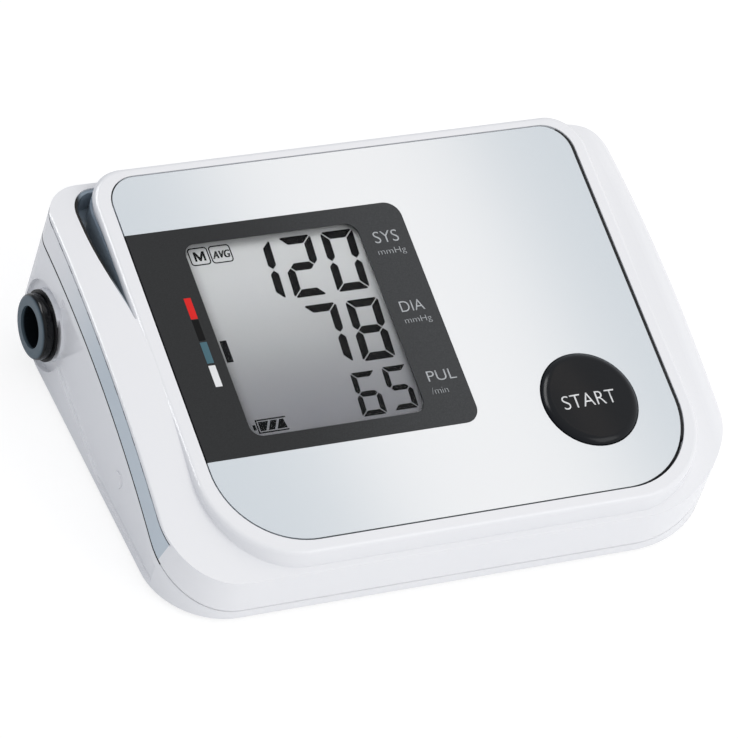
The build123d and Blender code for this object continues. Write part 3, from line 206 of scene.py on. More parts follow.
# housing: ABS moulded in a polished tool, an even gloss with a faint orange-peel swell;
# its two grooves are darkened with painted shade, and the strip between them on the left is blue-grey painted
# shade
glossWhiteAbs = {
    "tones": ("#f2f2f4", "#edeef1"), "drift": 45, "swell": 1.6, "relief": 0.0025, "roughness": (0.16, 0.24),
    "ior": 1.53,
    # each groove lies "from" to "to" under the skin of a drum across the housing, whose crest is at
    # y "peak" and "drop" below the face; its painted shade shows left of "reach" or behind "behind", but only
    # behind "start" (mm, along the face)
    "joint": {"radius": 230.0, "peak": -1.0, "drop": 6.9, "from": -0.05, "to": 0.45,
              "reach": -60.0, "behind": 200.0, "start": -43.4, "tone": "#0b0c0e"},
    "edge": {"radius": 310.0, "peak": 0.5, "drop": 0.05, "from": 0.69, "to": 1.06,
             "reach": -70.2, "behind": 49.3, "start": -42.4, "tone": "#7d838c"},
    # the strip's painted shade fades in between the two y of "fade", and begins "clear" above the joint's
    # drum
    "band": {"reach": -73.0, "start": -42.4, "fade": (38.0, -2.0), "clear": 0.05, "tone": "#c6d1da"},
}
made["glossWhiteAbs"], tree, place = newTree("glossWhiteAbs")
onFace = addNode(tree, "ShaderNodeMapping", {"Vector": place, **alongFace}, vector_type="TEXTURE").outputs[0]
sides = addNode(tree, "ShaderNodeSeparateXYZ", {0: onFace})
drift = addNode(tree, "ShaderNodeTexNoise", {
    "Vector": place, "Scale": 1 / (glossWhiteAbs["drift"] * mm), "Detail": 3.0})
swell = addNode(tree, "ShaderNodeTexNoise", {
    "Vector": place, "Scale": 1 / (glossWhiteAbs["swell"] * mm), "Detail": 2.0})
tone = addNode(tree, "ShaderNodeMix", {
    0: drift.outputs["Fac"], 6: linear(glossWhiteAbs["tones"][0]), 7: linear(glossWhiteAbs["tones"][1])},
    data_type="RGBA")
fars = {}
# painted shade in the two grooves
for name in ("joint", "edge"):
    groove = glossWhiteAbs[name]
    far = farFromAxis(tree, onFace, (groove["peak"], -groove["drop"] - groove["radius"]))
    fars[name] = far
    beside, behind = [
        addNode(tree, "ShaderNodeMath", {0: value, 1: groove[limit]}, operation=test).outputs[0]
        for value, limit, test in (
            (sides.outputs[0], "reach", "LESS_THAN"), (sides.outputs[1], "behind", "GREATER_THAN"))]
    either = addNode(tree, "ShaderNodeMath", {0: beside, 1: behind}, operation="MAXIMUM")
    inside = whereAll(tree, either, (
        (far, groove["radius"] - groove["from"], "LESS_THAN"),
        (far, groove["radius"] - groove["to"], "GREATER_THAN"),
        (sides.outputs[1], groove["start"], "GREATER_THAN")))
    tone = addNode(tree, "ShaderNodeMix", {
        0: inside.outputs[0], 6: tone.outputs[2], 7: linear(groove["tone"])}, data_type="RGBA")
# painted shade on the left strip of the housing, which faces away from the light
band = glossWhiteAbs["band"]
bandLow = glossWhiteAbs["joint"]["radius"] + band["clear"]
bandHigh = glossWhiteAbs["edge"]["radius"] - glossWhiteAbs["edge"]["to"]
fade = addNode(tree, "ShaderNodeMapRange", {
    "Value": sides.outputs[1], "From Min": band["fade"][0], "From Max": band["fade"][1]},
    interpolation_type="SMOOTHSTEP")
inside = whereAll(tree, fade, (
    (sides.outputs[0], band["reach"], "LESS_THAN"), (sides.outputs[1], band["start"], "GREATER_THAN"),
    (fars["joint"], bandLow, "GREATER_THAN"), (fars["edge"], bandHigh, "LESS_THAN")))
tone = addNode(tree, "ShaderNodeMix", {
    0: inside.outputs[0], 6: tone.outputs[2], 7: linear(band["tone"])}, data_type="RGBA")
rough = addNode(tree, "ShaderNodeMapRange", {
    "Value": swell.outputs["Fac"], "From Min": grainSpan[0], "From Max": grainSpan[1],
    "To Min": glossWhiteAbs["roughness"][0], "To Max": glossWhiteAbs["roughness"][1]})
relief = addNode(tree, "ShaderNodeBump", {
    "Height": swell.outputs["Fac"], "Distance": glossWhiteAbs["relief"] * mm, "Strength": 1.0})
shell = addNode(tree, "ShaderNodeBsdfPrincipled", {
    "Base Color": tone.outputs[2], "Roughness": rough.outputs[0], "Normal": relief.outputs[0],
    "IOR": glossWhiteAbs["ior"]})
addNode(tree, "ShaderNodeOutputMaterial", {"Surface": shell.outputs[0]})

# slot liner: slate ABS moulded in a polished tool, its tones painted shade and painted light: near black
# towards its left wall as painted shade, paler towards the block's side and where it thins out in front as
# painted light
slateAbsWithPaintedShade = {
    "deep": "#0a0e12", "mid": "#96a4b1", "thin": "#bcc3ca",
    "across": (-65.0, -62.8), "along": (25.0, 15.5),  # x and y of its two fades, mm
    "roughness": (0.12, 0.2), "drift": 25, "ior": 1.53, "shine": 0.25,
}
made["slateAbsWithPaintedShade"], tree, place = newTree("slateAbsWithPaintedShade")
sides = addNode(tree, "ShaderNodeSeparateXYZ", {0: place})
drift = addNode(tree, "ShaderNodeTexNoise", {
    "Vector": place, "Scale": 1 / (slateAbsWithPaintedShade["drift"] * mm), "Detail": 2.0})
across, along = [
    addNode(tree, "ShaderNodeMapRange", {
        "Value": sides.outputs[side], "From Min": slateAbsWithPaintedShade[way][0] * mm, "From Max": slateAbsWithPaintedShade[way][1] * mm},
        interpolation_type="SMOOTHSTEP").outputs[0]
    for side, way in ((0, "across"), (1, "along"))]
tone = addNode(tree, "ShaderNodeMix", {
    0: across, 6: linear(slateAbsWithPaintedShade["deep"]), 7: linear(slateAbsWithPaintedShade["mid"])}, data_type="RGBA")
tone = addNode(tree, "ShaderNodeMix", {
    0: along, 6: tone.outputs[2], 7: linear(slateAbsWithPaintedShade["thin"])}, data_type="RGBA")
rough = addNode(tree, "ShaderNodeMapRange", {
    "Value": drift.outputs["Fac"], "To Min": slateAbsWithPaintedShade["roughness"][0], "To Max": slateAbsWithPaintedShade["roughness"][1]})
liner = addNode(tree, "ShaderNodeBsdfPrincipled", {
    "Base Color": tone.outputs[2], "Roughness": rough.outputs[0], "IOR": slateAbsWithPaintedShade["ior"],
    "Specular IOR Level": slateAbsWithPaintedShade["shine"]})
addNode(tree, "ShaderNodeOutputMaterial", {"Surface": liner.outputs[0]})

# air socket: moulded gloss black ABS whose end ring is painted slate grey as painted light, where its lit
# face shows
socketAbsWithPaintedLight = {
    "side": "#07090b", "bore": "#1b2024", "ring": "#56656f",
    "axis": (33.05, 12.3),  # y and z, mm
    "end": (-75.4, -76.1), "inner": (4.6, 5.4), "outer": (7.6, 7.1),  # x and two radii of its fades, mm
    "roughness": (0.1, 0.14), "drift": 5, "ior": 1.53, "shine": 0.22,
}
made["socketAbsWithPaintedLight"], tree, place = newTree("socketAbsWithPaintedLight")
far = farFromAxis(tree, place, [v * mm for v in socketAbsWithPaintedLight["axis"]])
sides = addNode(tree, "ShaderNodeSeparateXYZ", {0: place})
drift = addNode(tree, "ShaderNodeTexNoise", {
    "Vector": place, "Scale": 1 / (socketAbsWithPaintedLight["drift"] * mm), "Detail": 2.0})
fromBore, fromSide, atEnd = [
    addNode(tree, "ShaderNodeMapRange", {
        "Value": value, "From Min": socketAbsWithPaintedLight[fade][0] * mm, "From Max": socketAbsWithPaintedLight[fade][1] * mm},
        interpolation_type="SMOOTHSTEP").outputs[0]
    for value, fade in ((far, "inner"), (far, "outer"), (sides.outputs[0], "end"))]
paintedLitRing = addNode(tree, "ShaderNodeMath", {0: fromSide, 1: atEnd}, operation="MULTIPLY")
tone = addNode(tree, "ShaderNodeMix", {
    0: fromBore, 6: linear(socketAbsWithPaintedLight["bore"]), 7: linear(socketAbsWithPaintedLight["side"])}, data_type="RGBA")
tone = addNode(tree, "ShaderNodeMix", {
    0: paintedLitRing.outputs[0], 6: tone.outputs[2], 7: linear(socketAbsWithPaintedLight["ring"])}, data_type="RGBA")
rough = addNode(tree, "ShaderNodeMapRange", {
    "Value": drift.outputs["Fac"],
    "To Min": socketAbsWithPaintedLight["roughness"][0], "To Max": socketAbsWithPaintedLight["roughness"][1]})
socket = addNode(tree, "ShaderNodeBsdfPrincipled", {
    "Base Color": tone.outputs[2], "Roughness": rough.outputs[0], "IOR": socketAbsWithPaintedLight["ior"],
    "Specular IOR Level": socketAbsWithPaintedLight["shine"]})
addNode(tree, "ShaderNodeOutputMaterial", {"Surface": socket.outputs[0]})

# fascia: polycarbonate film with silver ink printed behind it, gloss in front; the ink's flakes
# give a soft metal drift
silverFilm = {
    "ink": "#d4dbe1", "deep": "#d1d8de", "flake": 0.25, "drift": 70, "metallic": 0.8,
    "roughness": (0.12, 0.18),
}
made["silverFilm"], tree, place = newTree("silverFilm")
flake, drift = [
    addNode(tree, "ShaderNodeTexNoise", {
        "Vector": place, "Scale": 1 / (silverFilm[size] * mm), "Detail": 1.0}).outputs["Fac"]
    for size in ("flake", "drift")]
tone = addNode(tree, "ShaderNodeMix", {
    0: drift, 6: linear(silverFilm["ink"]), 7: linear(silverFilm["deep"])}, data_type="RGBA")
rough = addNode(tree, "ShaderNodeMapRange", {
    "Value": flake, "To Min": silverFilm["roughness"][0], "To Max": silverFilm["roughness"][1]})
sheen = addNode(tree, "ShaderNodeBsdfPrincipled", {
    "Base Color": tone.outputs[2], "Metallic": silverFilm["metallic"], "Roughness": rough.outputs[0]})
addNode(tree, "ShaderNodeOutputMaterial", {"Surface": sheen.outputs[0]})

# display surround: film printed charcoal from below under a matt hard coat: fine sparkle,
# paler towards its right side as painted light
charcoalFilm = {
    "deep": "#1f2123", "pale": "#393b3d", "fade": (-45.0, 12.0),  # x of the fade, mm
    "grain": 0.3, "sparkle": (0.8, 1.2), "relief": 0.004, "roughness": (0.34, 0.46),
    "ior": 1.5, "shine": 0.25,
}
made["charcoalFilm"], tree, place = newTree("charcoalFilm")
sides = addNode(tree, "ShaderNodeSeparateXYZ", {0: place})
fade = addNode(tree, "ShaderNodeMapRange", {
    "Value": sides.outputs[0], "From Min": charcoalFilm["fade"][0] * mm,
    "From Max": charcoalFilm["fade"][1] * mm}, interpolation_type="SMOOTHSTEP")
grain = addNode(tree, "ShaderNodeTexNoise", {
    "Vector": place, "Scale": 1 / (charcoalFilm["grain"] * mm), "Detail": 2.0})
speck = addNode(tree, "ShaderNodeMapRange", {
    "Value": grain.outputs["Fac"], "From Min": grainSpan[0], "From Max": grainSpan[1],
    "To Min": charcoalFilm["sparkle"][0], "To Max": charcoalFilm["sparkle"][1]})
tone = addNode(tree, "ShaderNodeMix", {
    0: fade.outputs[0], 6: linear(charcoalFilm["deep"]), 7: linear(charcoalFilm["pale"])}, data_type="RGBA")
flecked = addNode(tree, "ShaderNodeVectorMath", {
    0: tone.outputs[2], "Scale": speck.outputs[0]}, operation="SCALE")
rough = addNode(tree, "ShaderNodeMapRange", {
    "Value": grain.outputs["Fac"],
    "To Min": charcoalFilm["roughness"][0], "To Max": charcoalFilm["roughness"][1]})
relief = addNode(tree, "ShaderNodeBump", {
    "Height": grain.outputs["Fac"], "Distance": charcoalFilm["relief"] * mm, "Strength": 1.0})
film = addNode(tree, "ShaderNodeBsdfPrincipled", {
    "Base Color": flecked.outputs[0], "Roughness": rough.outputs[0], "Normal": relief.outputs[0],
    "IOR": charcoalFilm["ior"], "Specular IOR Level": charcoalFilm["shine"]})
addNode(tree, "ShaderNodeOutputMaterial", {"Surface": film.outputs[0]})

# window: cast acrylic with a thin coat against reflections, so it hardly shows;
# lamps reach the display through it
clearAcrylic = {
    "tint": "#fdfdfd", "shadow": "#fafbfb", "swell": 9, "smear": 0.03,
    "ior": 1.08,  # the coat takes nearly all reflection, so the index is low
}
made["clearAcrylic"], tree, place = newTree("clearAcrylic")
swell = addNode(tree, "ShaderNodeTexNoise", {
    "Vector": place, "Scale": 1 / (clearAcrylic["swell"] * mm), "Detail": 1.0})
smear = addNode(tree, "ShaderNodeMapRange", {
    "Value": swell.outputs["Fac"], "To Min": 0.0, "To Max": clearAcrylic["smear"]})
pane = addNode(tree, "ShaderNodeBsdfPrincipled", {
    "Base Color": linear(clearAcrylic["tint"]), "Transmission Weight": 1.0, "Roughness": smear.outputs[0],
    "IOR": clearAcrylic["ior"]})
through = addNode(tree, "ShaderNodeBsdfTransparent", {"Color": linear(clearAcrylic["shadow"])})
shadow = addNode(tree, "ShaderNodeLightPath").outputs["Is Shadow Ray"]
both = addNode(tree, "ShaderNodeMixShader", {0: shadow, 1: pane.outputs[0], 2: through.outputs[0]})
addNode(tree, "ShaderNodeOutputMaterial", {"Surface": both.outputs[0]})

# display: laminated liquid crystal cell under a satin polariser; it pales towards its top as a
# painted reflection, and a painted shadow of the window's edge darkens it at two edges
lcdCell = {
    "pale": "#a0a2a3", "deep": "#65666a", "fade": (-20.0, 25.0),  # mm up the slope
    "left": -47.3, "top": 29.2, "reach": 3.6,  # the edges darkened by painted shadow and how far in they reach, mm
    "edges": (0.55, 0.85),  # share of light left at them
    "grain": 0.3, "roughness": (0.4, 0.55), "ior": 1.5, "shine": 0.25,
}
made["lcdCell"], tree, place = newTree("lcdCell")
onFace = addNode(tree, "ShaderNodeMapping", {"Vector": place, **alongFace}, vector_type="TEXTURE").outputs[0]
sides = addNode(tree, "ShaderNodeSeparateXYZ", {0: onFace})
speck = addNode(tree, "ShaderNodeTexNoise", {
    "Vector": place, "Scale": 1 / (lcdCell["grain"] * mm), "Detail": 1.0})
fade, fromLeft, fromTop = [
    addNode(tree, "ShaderNodeMapRange", {
        "Value": sides.outputs[side], "From Min": low, "From Max": high, "To Min": darkest},
        interpolation_type="SMOOTHSTEP").outputs[0]
    for side, low, high, darkest in (
        (1, *lcdCell["fade"], 0.0),
        (0, lcdCell["left"], lcdCell["left"] + lcdCell["reach"], lcdCell["edges"][0]),
        (1, lcdCell["top"], lcdCell["top"] - lcdCell["reach"], lcdCell["edges"][1]))]
shade = addNode(tree, "ShaderNodeMath", {0: fromLeft, 1: fromTop}, operation="MULTIPLY")
tone = addNode(tree, "ShaderNodeMix", {
    0: fade, 6: linear(lcdCell["deep"]), 7: linear(lcdCell["pale"])}, data_type="RGBA")
edged = addNode(tree, "ShaderNodeVectorMath", {
    0: tone.outputs[2], "Scale": shade.outputs[0]}, operation="SCALE")
rough = addNode(tree, "ShaderNodeMapRange", {
    "Value": speck.outputs["Fac"], "To Min": lcdCell["roughness"][0], "To Max": lcdCell["roughness"][1]})
cell = addNode(tree, "ShaderNodeBsdfPrincipled", {
    "Base Color": edged.outputs[0], "Roughness": rough.outputs[0], "IOR": lcdCell["ior"],
    "Specular IOR Level": lcdCell["shine"]})
addNode(tree, "ShaderNodeOutputMaterial", {"Surface": cell.outputs[0]})

# circuit board: green solder mask screened over glass cloth, copper tracks as faint lighter lines
greenMask = {
    "mask": "#1f5a35", "track": "#2f7a48", "pitch": 2.54, "wander": 6.0, "width": (0.6, 0.7),
    "weave": 0.6, "relief": 0.01, "roughness": 0.35, "coat": 0.3,
    "wave": 0.314,  # about how far apart the waves of a wave texture lie at scale 1
}
made["greenMask"], tree, place = newTree("greenMask")
tracks = addNode(tree, "ShaderNodeTexWave", {
    "Vector": place, "Scale": greenMask["wave"] / (greenMask["pitch"] * mm),
    "Distortion": greenMask["wander"], "Detail": 1.0, "Detail Scale": 0.4}, bands_direction="DIAGONAL")
weave = addNode(tree, "ShaderNodeTexNoise", {"Vector": place, "Scale": 1 / (greenMask["weave"] * mm)})
edge = addNode(tree, "ShaderNodeMapRange", {
    "Value": tracks.outputs["Fac"], "From Min": greenMask["width"][0], "From Max": greenMask["width"][1]})
tone = addNode(tree, "ShaderNodeMix", {
    0: edge.outputs[0], 6: linear(greenMask["mask"]), 7: linear(greenMask["track"])}, data_type="RGBA")
relief = addNode(tree, "ShaderNodeBump", {
    "Height": weave.outputs["Fac"], "Distance": greenMask["relief"] * mm, "Strength": 1.0})
board = addNode(tree, "ShaderNodeBsdfPrincipled", {
    "Base Color": tone.outputs[2], "Roughness": greenMask["roughness"], "Normal": relief.outputs[0],
    "Coat Weight": greenMask["coat"]})
addNode(tree, "ShaderNodeOutputMaterial", {"Surface": board.outputs[0]})

# motor rotor: a ground steel shaft, enamelled copper wire wound in the slots,
# and the dull edges of its stamped steel sheets outside
woundRotor = {
    "steel": "#b4b6b9", "copper": "#a4502a",
    "axis": (34.85, 17.5),  # y and z, mm
    "shaft": (1.1, 1.3), "stack": (5.8, 5.6),  # radii of the two fades, mm
    "wire": 0.35, "relief": 0.03, "roughness": (0.24, 0.4),
}
made["woundRotor"], tree, place = newTree("woundRotor")
far = farFromAxis(tree, place, [v * mm for v in woundRotor["axis"]])
wire = addNode(tree, "ShaderNodeTexNoise", {
    "Vector": place, "Scale": 1 / (woundRotor["wire"] * mm), "Detail": 1.0})
pastShaft, inStack = [
    addNode(tree, "ShaderNodeMapRange", {
        "Value": far, "From Min": woundRotor[fade][0] * mm, "From Max": woundRotor[fade][1] * mm}).outputs[0]
    for fade in ("shaft", "stack")]
wound = addNode(tree, "ShaderNodeMath", {0: pastShaft, 1: inStack}, operation="MULTIPLY")
tone = addNode(tree, "ShaderNodeMix", {
    0: wound.outputs[0], 6: linear(woundRotor["steel"]), 7: linear(woundRotor["copper"])}, data_type="RGBA")
rough = addNode(tree, "ShaderNodeMapRange", {
    "Value": wire.outputs["Fac"], "To Min": woundRotor["roughness"][0], "To Max": woundRotor["roughness"][1]})
height = addNode(tree, "ShaderNodeMath", {0: wire.outputs["Fac"], 1: wound.outputs[0]}, operation="MULTIPLY")
relief = addNode(tree, "ShaderNodeBump", {
    "Height": height.outputs[0], "Distance": woundRotor["relief"] * mm, "Strength": 1.0})
rotor = addNode(tree, "ShaderNodeBsdfPrincipled", {
    "Base Color": tone.outputs[2], "Roughness": rough.outputs[0], "Normal": relief.outputs[0],
    "Metallic": 1.0})
addNode(tree, "ShaderNodeOutputMaterial", {"Surface": rotor.outputs[0]})

wear = {
    "glossWhiteAbs": ["upper_shell", "lower_shell"],
    "grainedWhiteAbs": ["battery_door"],
    "silverFilm": ["fascia"],
    "charcoalFilm": ["display_bezel"],
    "clearAcrylic": ["window_lens"],
    "lcdCell": ["lcd_glass"],
    "slateAbsWithPaintedShade": ["slot_liner"],
    "socketAbsWithPaintedLight": ["cuff_socket"],
    "blackKeyAbs": ["start_button"],
    "blackFoam": ["fascia_gasket"],
    "naturalNylon": ["switch_plunger", "valve_plunger", "air_manifold", "pump_head"],
    "blackNylon": ["lcd_holder", "processor_chip", "buzzer", "tact_switch", "release_valve",
                   "pressure_sensor", "pump_crankcase", "pump_crank", "motor_end_cap"],
    "zebraRubber": ["zebra_strips"],
    "greenMask": ["main_board"],
    "zincSteel": ["board_screws", "housing_screws", "socket_nut", "pump_motor"],
    "springSteel": ["button_spring", "battery_springs"],
    "nickelPlate": ["battery_terminals", "battery_bridge"],
    "extrudedAluminium": ["capacitors", "batteries"],
    "sinteredFerrite": ["motor_magnets"],
    "woundRotor": ["motor_rotor"],
    "siliconeTube": ["socket_tube", "pump_tube", "sensor_tube", "valve_tube", "pump_diaphragm"],
    "greyFoam": ["pump_sleeve"],
    "nitrileRubber": ["socket_washer"],
    "footRubber": ["rubber_feet"],
}
for name, pieces in wear.items():
    for piece in pieces:
        nodes[piece].data.materials.clear()
        nodes[piece].data.materials.append(made[name])
print("finishes on", sum(len(pieces) for pieces in wear.values()), "of", len(nodes), "nodes")

# prints and segments: solid tones with a trace of ink grain
screenInk = {"drift": 3, "grain": 0.2, "relief": 0.002, "ior": 1.5}
inks = {
    # lit liquid crystal segment under the polariser: near black with hardly any shine
    "darkSegment": {
        "tones": ("#060708", "#0b0c0e"), "drift": 4, "grain": 0.4, "relief": 0.0,
        "roughness": (0.4, 0.5), "ior": 1.5, "shine": 0.05},
    # screen-printed inks: even and half matt
    "greyInk": {**screenInk, "tones": ("#b9bcbf", "#aeb1b4"), "roughness": (0.4, 0.55)},
    "whiteInk": {**screenInk, "tones": ("#eceded", "#e2e3e4"), "roughness": (0.4, 0.55)},
    "redInk": {**screenInk, "tones": ("#e2130e", "#d40f0a"), "roughness": (0.45, 0.6), "shine": 0.25},
    "blackInk": {**screenInk, "tones": ("#08090a", "#0e0f10"), "roughness": (0.45, 0.6), "shine": 0.1},
    "tealInk": {**screenInk, "tones": ("#476c78", "#3f6470"), "roughness": (0.45, 0.6), "shine": 0.25},
}
made.update({name: makeFinish(name, look) for name, look in inks.items()})


def flatPiece(name, corners):
    bpy.ops.object.select_all(action="DESELECT")
    bpy.ops.mesh.primitive_circle_add(vertices=len(corners), radius=mm, fill_type="NGON")
    piece = bpy.context.object
    piece.name = name
    for vertex, corner in zip(piece.data.vertices, corners):
        vertex.co = (corner[0] * mm, corner[1] * mm, 0.0)
    return piece


def raised(piece, height):
    # gives a flat outline its thickness and closes it
    bpy.ops.object.select_all(action="DESELECT")
    piece.select_set(True)
    bpy.context.view_layer.objects.active = piece
    bpy.ops.object.mode_set(mode="EDIT")
    bpy.ops.mesh.select_all(action="SELECT")
    bpy.ops.mesh.extrude_region_move(TRANSFORM_OT_translate={"value": (0.0, 0.0, height * mm)})
    bpy.ops.mesh.select_all(action="SELECT")
    bpy.ops.mesh.normals_make_consistent(inside=False)
    bpy.ops.object.mode_set(mode="OBJECT")


def joined(pieces, name):
    bpy.ops.object.select_all(action="DESELECT")
    for piece in pieces:
        piece.select_set(True)
    bpy.context.view_layer.objects.active = pieces[0]
    bpy.ops.object.join()
    bpy.context.object.name = name
    return bpy.context.object


def settle(piece, finish, depth=0.0, body="housing", at=(0.0, 0.0)):
    # lays a flat piece on the sloping face, depth mm below it, and lets it ride with its body
    piece.data.transform(ontoFace @ Matrix.Translation((at[0] * mm, at[1] * mm, -depth * mm)))
    piece.data.materials.clear()
    piece.data.materials.append(made[finish])
    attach(piece, body)


display = {
    "depth": 1.745,  # mm below the face, just proud of the cell
    "thick": 0.02,
    "gap": 0.25,  # between segments
    "lean": 3.8,  # degrees
    "large": {"width": 8.65, "height": 16.25, "bar": 2.3, "corner": 0.8},
    "small": {"width": 6.55, "height": 11.6, "bar": 1.65, "corner": 0.55},
    # figure, size and the place of its lower left corner on the face
    "digits": (("1", "large", (-34.4, 12.4)), ("2", "large", (-23.8, 12.35)), ("0", "large", (-12.8, 12.4)),
               ("7", "large", (-23.8, -5.95)), ("8", "large", (-13.0, -6.1)),
               ("6", "small", (-18.25, -19.95)), ("5", "small", (-10.05, -19.6))),
    "lit": {"0": "abcdef", "1": "bc", "2": "abdeg", "5": "acdfg", "6": "acdefg", "7": "abc", "8": "abcdefg"},
}


def segmentOutlines(size):
    # seven mitred bars, lettered clockwise from the top, with the middle one last
    wide, high, bar, cut = size["width"], size["height"], size["bar"], size["corner"]
    half = high / 2
    top = [(cut, high), (cut / 2, high - cut / 2), (bar, high - bar),
           (wide - bar, high - bar), (wide - cut / 2, high - cut / 2), (wide - cut, high)]
    upperLeft = [(0, high - cut), (0, half + bar / 2), (bar / 2, half),
                 (bar, half + bar / 2), (bar, high - bar), (cut / 2, high - cut / 2)]
    middle = [(bar / 2, half), (bar, half - bar / 2), (wide - bar, half - bar / 2),
              (wide - bar / 2, half), (wide - bar, half + bar / 2), (bar, half + bar / 2)]
    upperRight = [(wide - x, y) for x, y in reversed(upperLeft)]
    lowerLeft = [(x, high - y) for x, y in reversed(upperLeft)]
    return {"a": top, "f": upperLeft, "g": middle, "b": upperRight, "e": lowerLeft,
            "d": [(x, high - y) for x, y in reversed(top)],
            "c": [(wide - x, y) for x, y in reversed(lowerLeft)]}


bpy.context.tool_settings.mesh_select_mode = (False, False, True)
blanks = {}
for size in ("large", "small"):
    outlines = segmentOutlines(display[size])
    blank = joined([flatPiece("segment", corners) for corners in outlines.values()], size + "Segments")
    bpy.ops.object.mode_set(mode="EDIT")
    bpy.ops.mesh.select_all(action="SELECT")
    bpy.ops.mesh.inset(thickness=display["gap"] / 2 * mm, use_individual=True)
    bpy.ops.mesh.select_all(action="INVERT")
    bpy.ops.mesh.delete(type="FACE")
    bpy.ops.object.mode_set(mode="OBJECT")
    middles = {
        letter: Vector((sum(x for x, y in corners), sum(y for x, y in corners), 0.0)) * (mm / len(corners))
        for letter, corners in outlines.items()}
    blanks[size] = (blank, middles)

for count, (digit, size, corner) in enumerate(display["digits"]):
    blank, middles = blanks[size]
    bpy.ops.object.select_all(action="DESELECT")
    blank.select_set(True)
    bpy.context.view_layer.objects.active = blank
    bpy.ops.object.duplicate()
    piece = bpy.context.object
    piece.name = "digit_" + str(count + 1)
    for polygon in piece.data.polygons:
        letter = min(middles, key=lambda key: (middles[key] - polygon.center).length)
        polygon.select = letter not in display["lit"][digit]
    if any(polygon.select for polygon in piece.data.polygons):
        bpy.ops.object.mode_set(mode="EDIT")
        bpy.ops.mesh.delete(type="FACE")
        bpy.ops.object.mode_set(mode="OBJECT")
    raised(piece, display["thick"])
    leaning = Matrix.Identity(4)
    leaning[0][1] = math.tan(math.radians(display["lean"]))
    piece.data.transform(leaning)
    settle(piece, "darkSegment", display["depth"], at=corner)
for blank, middles in blanks.values():
    bpy.data.objects.remove(blank)
print("digits lit:", len(display["digits"]))


def framePiece(name, width, height, corner, line, steps=5):
    # a thin rounded outline round the origin
    bpy.ops.object.select_all(action="DESELECT")
    bpy.ops.mesh.primitive_plane_add(size=mm)
    piece = bpy.context.object
    piece.name = name
    bpy.ops.object.mode_set(mode="EDIT")
    bpy.ops.mesh.select_all(action="SELECT")
    bpy.ops.transform.resize(value=(width, height, 1.0))
    bpy.ops.mesh.bevel(offset=corner * mm, segments=steps, affect="VERTICES")
    bpy.ops.mesh.select_all(action="SELECT")
    bpy.ops.mesh.inset(thickness=line * mm)
    bpy.ops.mesh.delete(type="FACE")
    bpy.ops.object.mode_set(mode="OBJECT")
    return piece


def wordPiece(name, word, width, height, lean=0.0, spacing=1.0, thin=0.0):
    # lettering of an exact size round the origin
    bpy.ops.object.select_all(action="DESELECT")
    bpy.ops.object.text_add()
    piece = bpy.context.object
    piece.name = name
    piece.data.body = word
    piece.data.size = height * mm
    piece.data.shear = lean
    piece.data.space_character = spacing
    piece.data.offset = -thin * mm
    bpy.ops.object.convert(target="MESH")
    piece = bpy.context.object
    points = [vertex.co for vertex in piece.data.vertices]
    low = [min(p[i] for p in points) for i in (0, 1)]
    high = [max(p[i] for p in points) for i in (0, 1)]
    toMiddle = Matrix.Translation((-(low[0] + high[0]) / 2, -(low[1] + high[1]) / 2, 0.0))
    toSize = Matrix.Diagonal((width * mm / (high[0] - low[0]), height * mm / (high[1] - low[1]), 1.0, 1.0))
    piece.data.transform(toSize @ toMiddle)
    return piece


# small marks of the display, in mm on the face
marks = {
    "frames": (("memory_frame", (-43.2, 26.5), 5.05, 4.7), ("average_frame", (-37.7, 26.45), 5.45, 4.7)),
    "frameLine": 0.3,
    "frameCorner": 0.9,
    "memory": {"middle": (-43.1, 26.5), "width": 2.8, "height": 2.5, "stroke": 0.52, "slant": 1.2},
    "average": {"word": "AVG", "middle": (-37.65, 26.35), "width": 4.65, "height": 2.0, "lean": 0.25,
                "bold": 0.24},
    "pointer": ((-45.88, 4.36), (-44.2, -1.33)),  # beside the scale of bars
}
for name, middle, width, height in marks["frames"]:
    piece = framePiece(name, width, height, marks["frameCorner"], marks["frameLine"])
    raised(piece, display["thick"])
    settle(piece, "darkSegment", display["depth"], at=middle)
# an M whose two slanting strokes, "slant" times as broad as its legs, meet in a narrow foot
letter = marks["memory"]
halfWide, halfHigh, leg = letter["width"] / 2, letter["height"] / 2, letter["stroke"]
slant, foot = letter["slant"] * leg, leg / 3
piece = flatPiece("memory_mark", [
    (-halfWide, -halfHigh), (leg - halfWide, -halfHigh), (leg - halfWide, halfHigh - 2 * leg),
    (-foot, -halfHigh), (foot, -halfHigh), (halfWide - leg, halfHigh - 2 * leg), (halfWide - leg, -halfHigh),
    (halfWide, -halfHigh), (halfWide, halfHigh), (halfWide - slant, halfHigh), (0.0, 2 * leg - halfHigh),
    (slant - halfWide, halfHigh), (-halfWide, halfHigh)])
raised(piece, display["thick"])
settle(piece, "darkSegment", display["depth"], at=letter["middle"])
letter = marks["average"]
strokes = []
for shift in (-0.5, 0.5):
    # two prints side by side make the word bold
    stroke = wordPiece(
        "average_mark", letter["word"], letter["width"] - letter["bold"], letter["height"], letter["lean"])
    stroke.data.transform(Matrix.Translation((shift * letter["bold"] * mm, 0.0, 0.0)))
    strokes.append(stroke)
piece = joined(strokes, "average_mark")
raised(piece, display["thick"])
settle(piece, "darkSegment", display["depth"], at=letter["middle"])
(left, top), (right, bottom) = marks["pointer"]
piece = flatPiece("scale_pointer", [(left, bottom), (right, bottom), (right, top), (left, top)])
raised(piece, display["thick"])
settle(piece, "darkSegment", display["depth"])

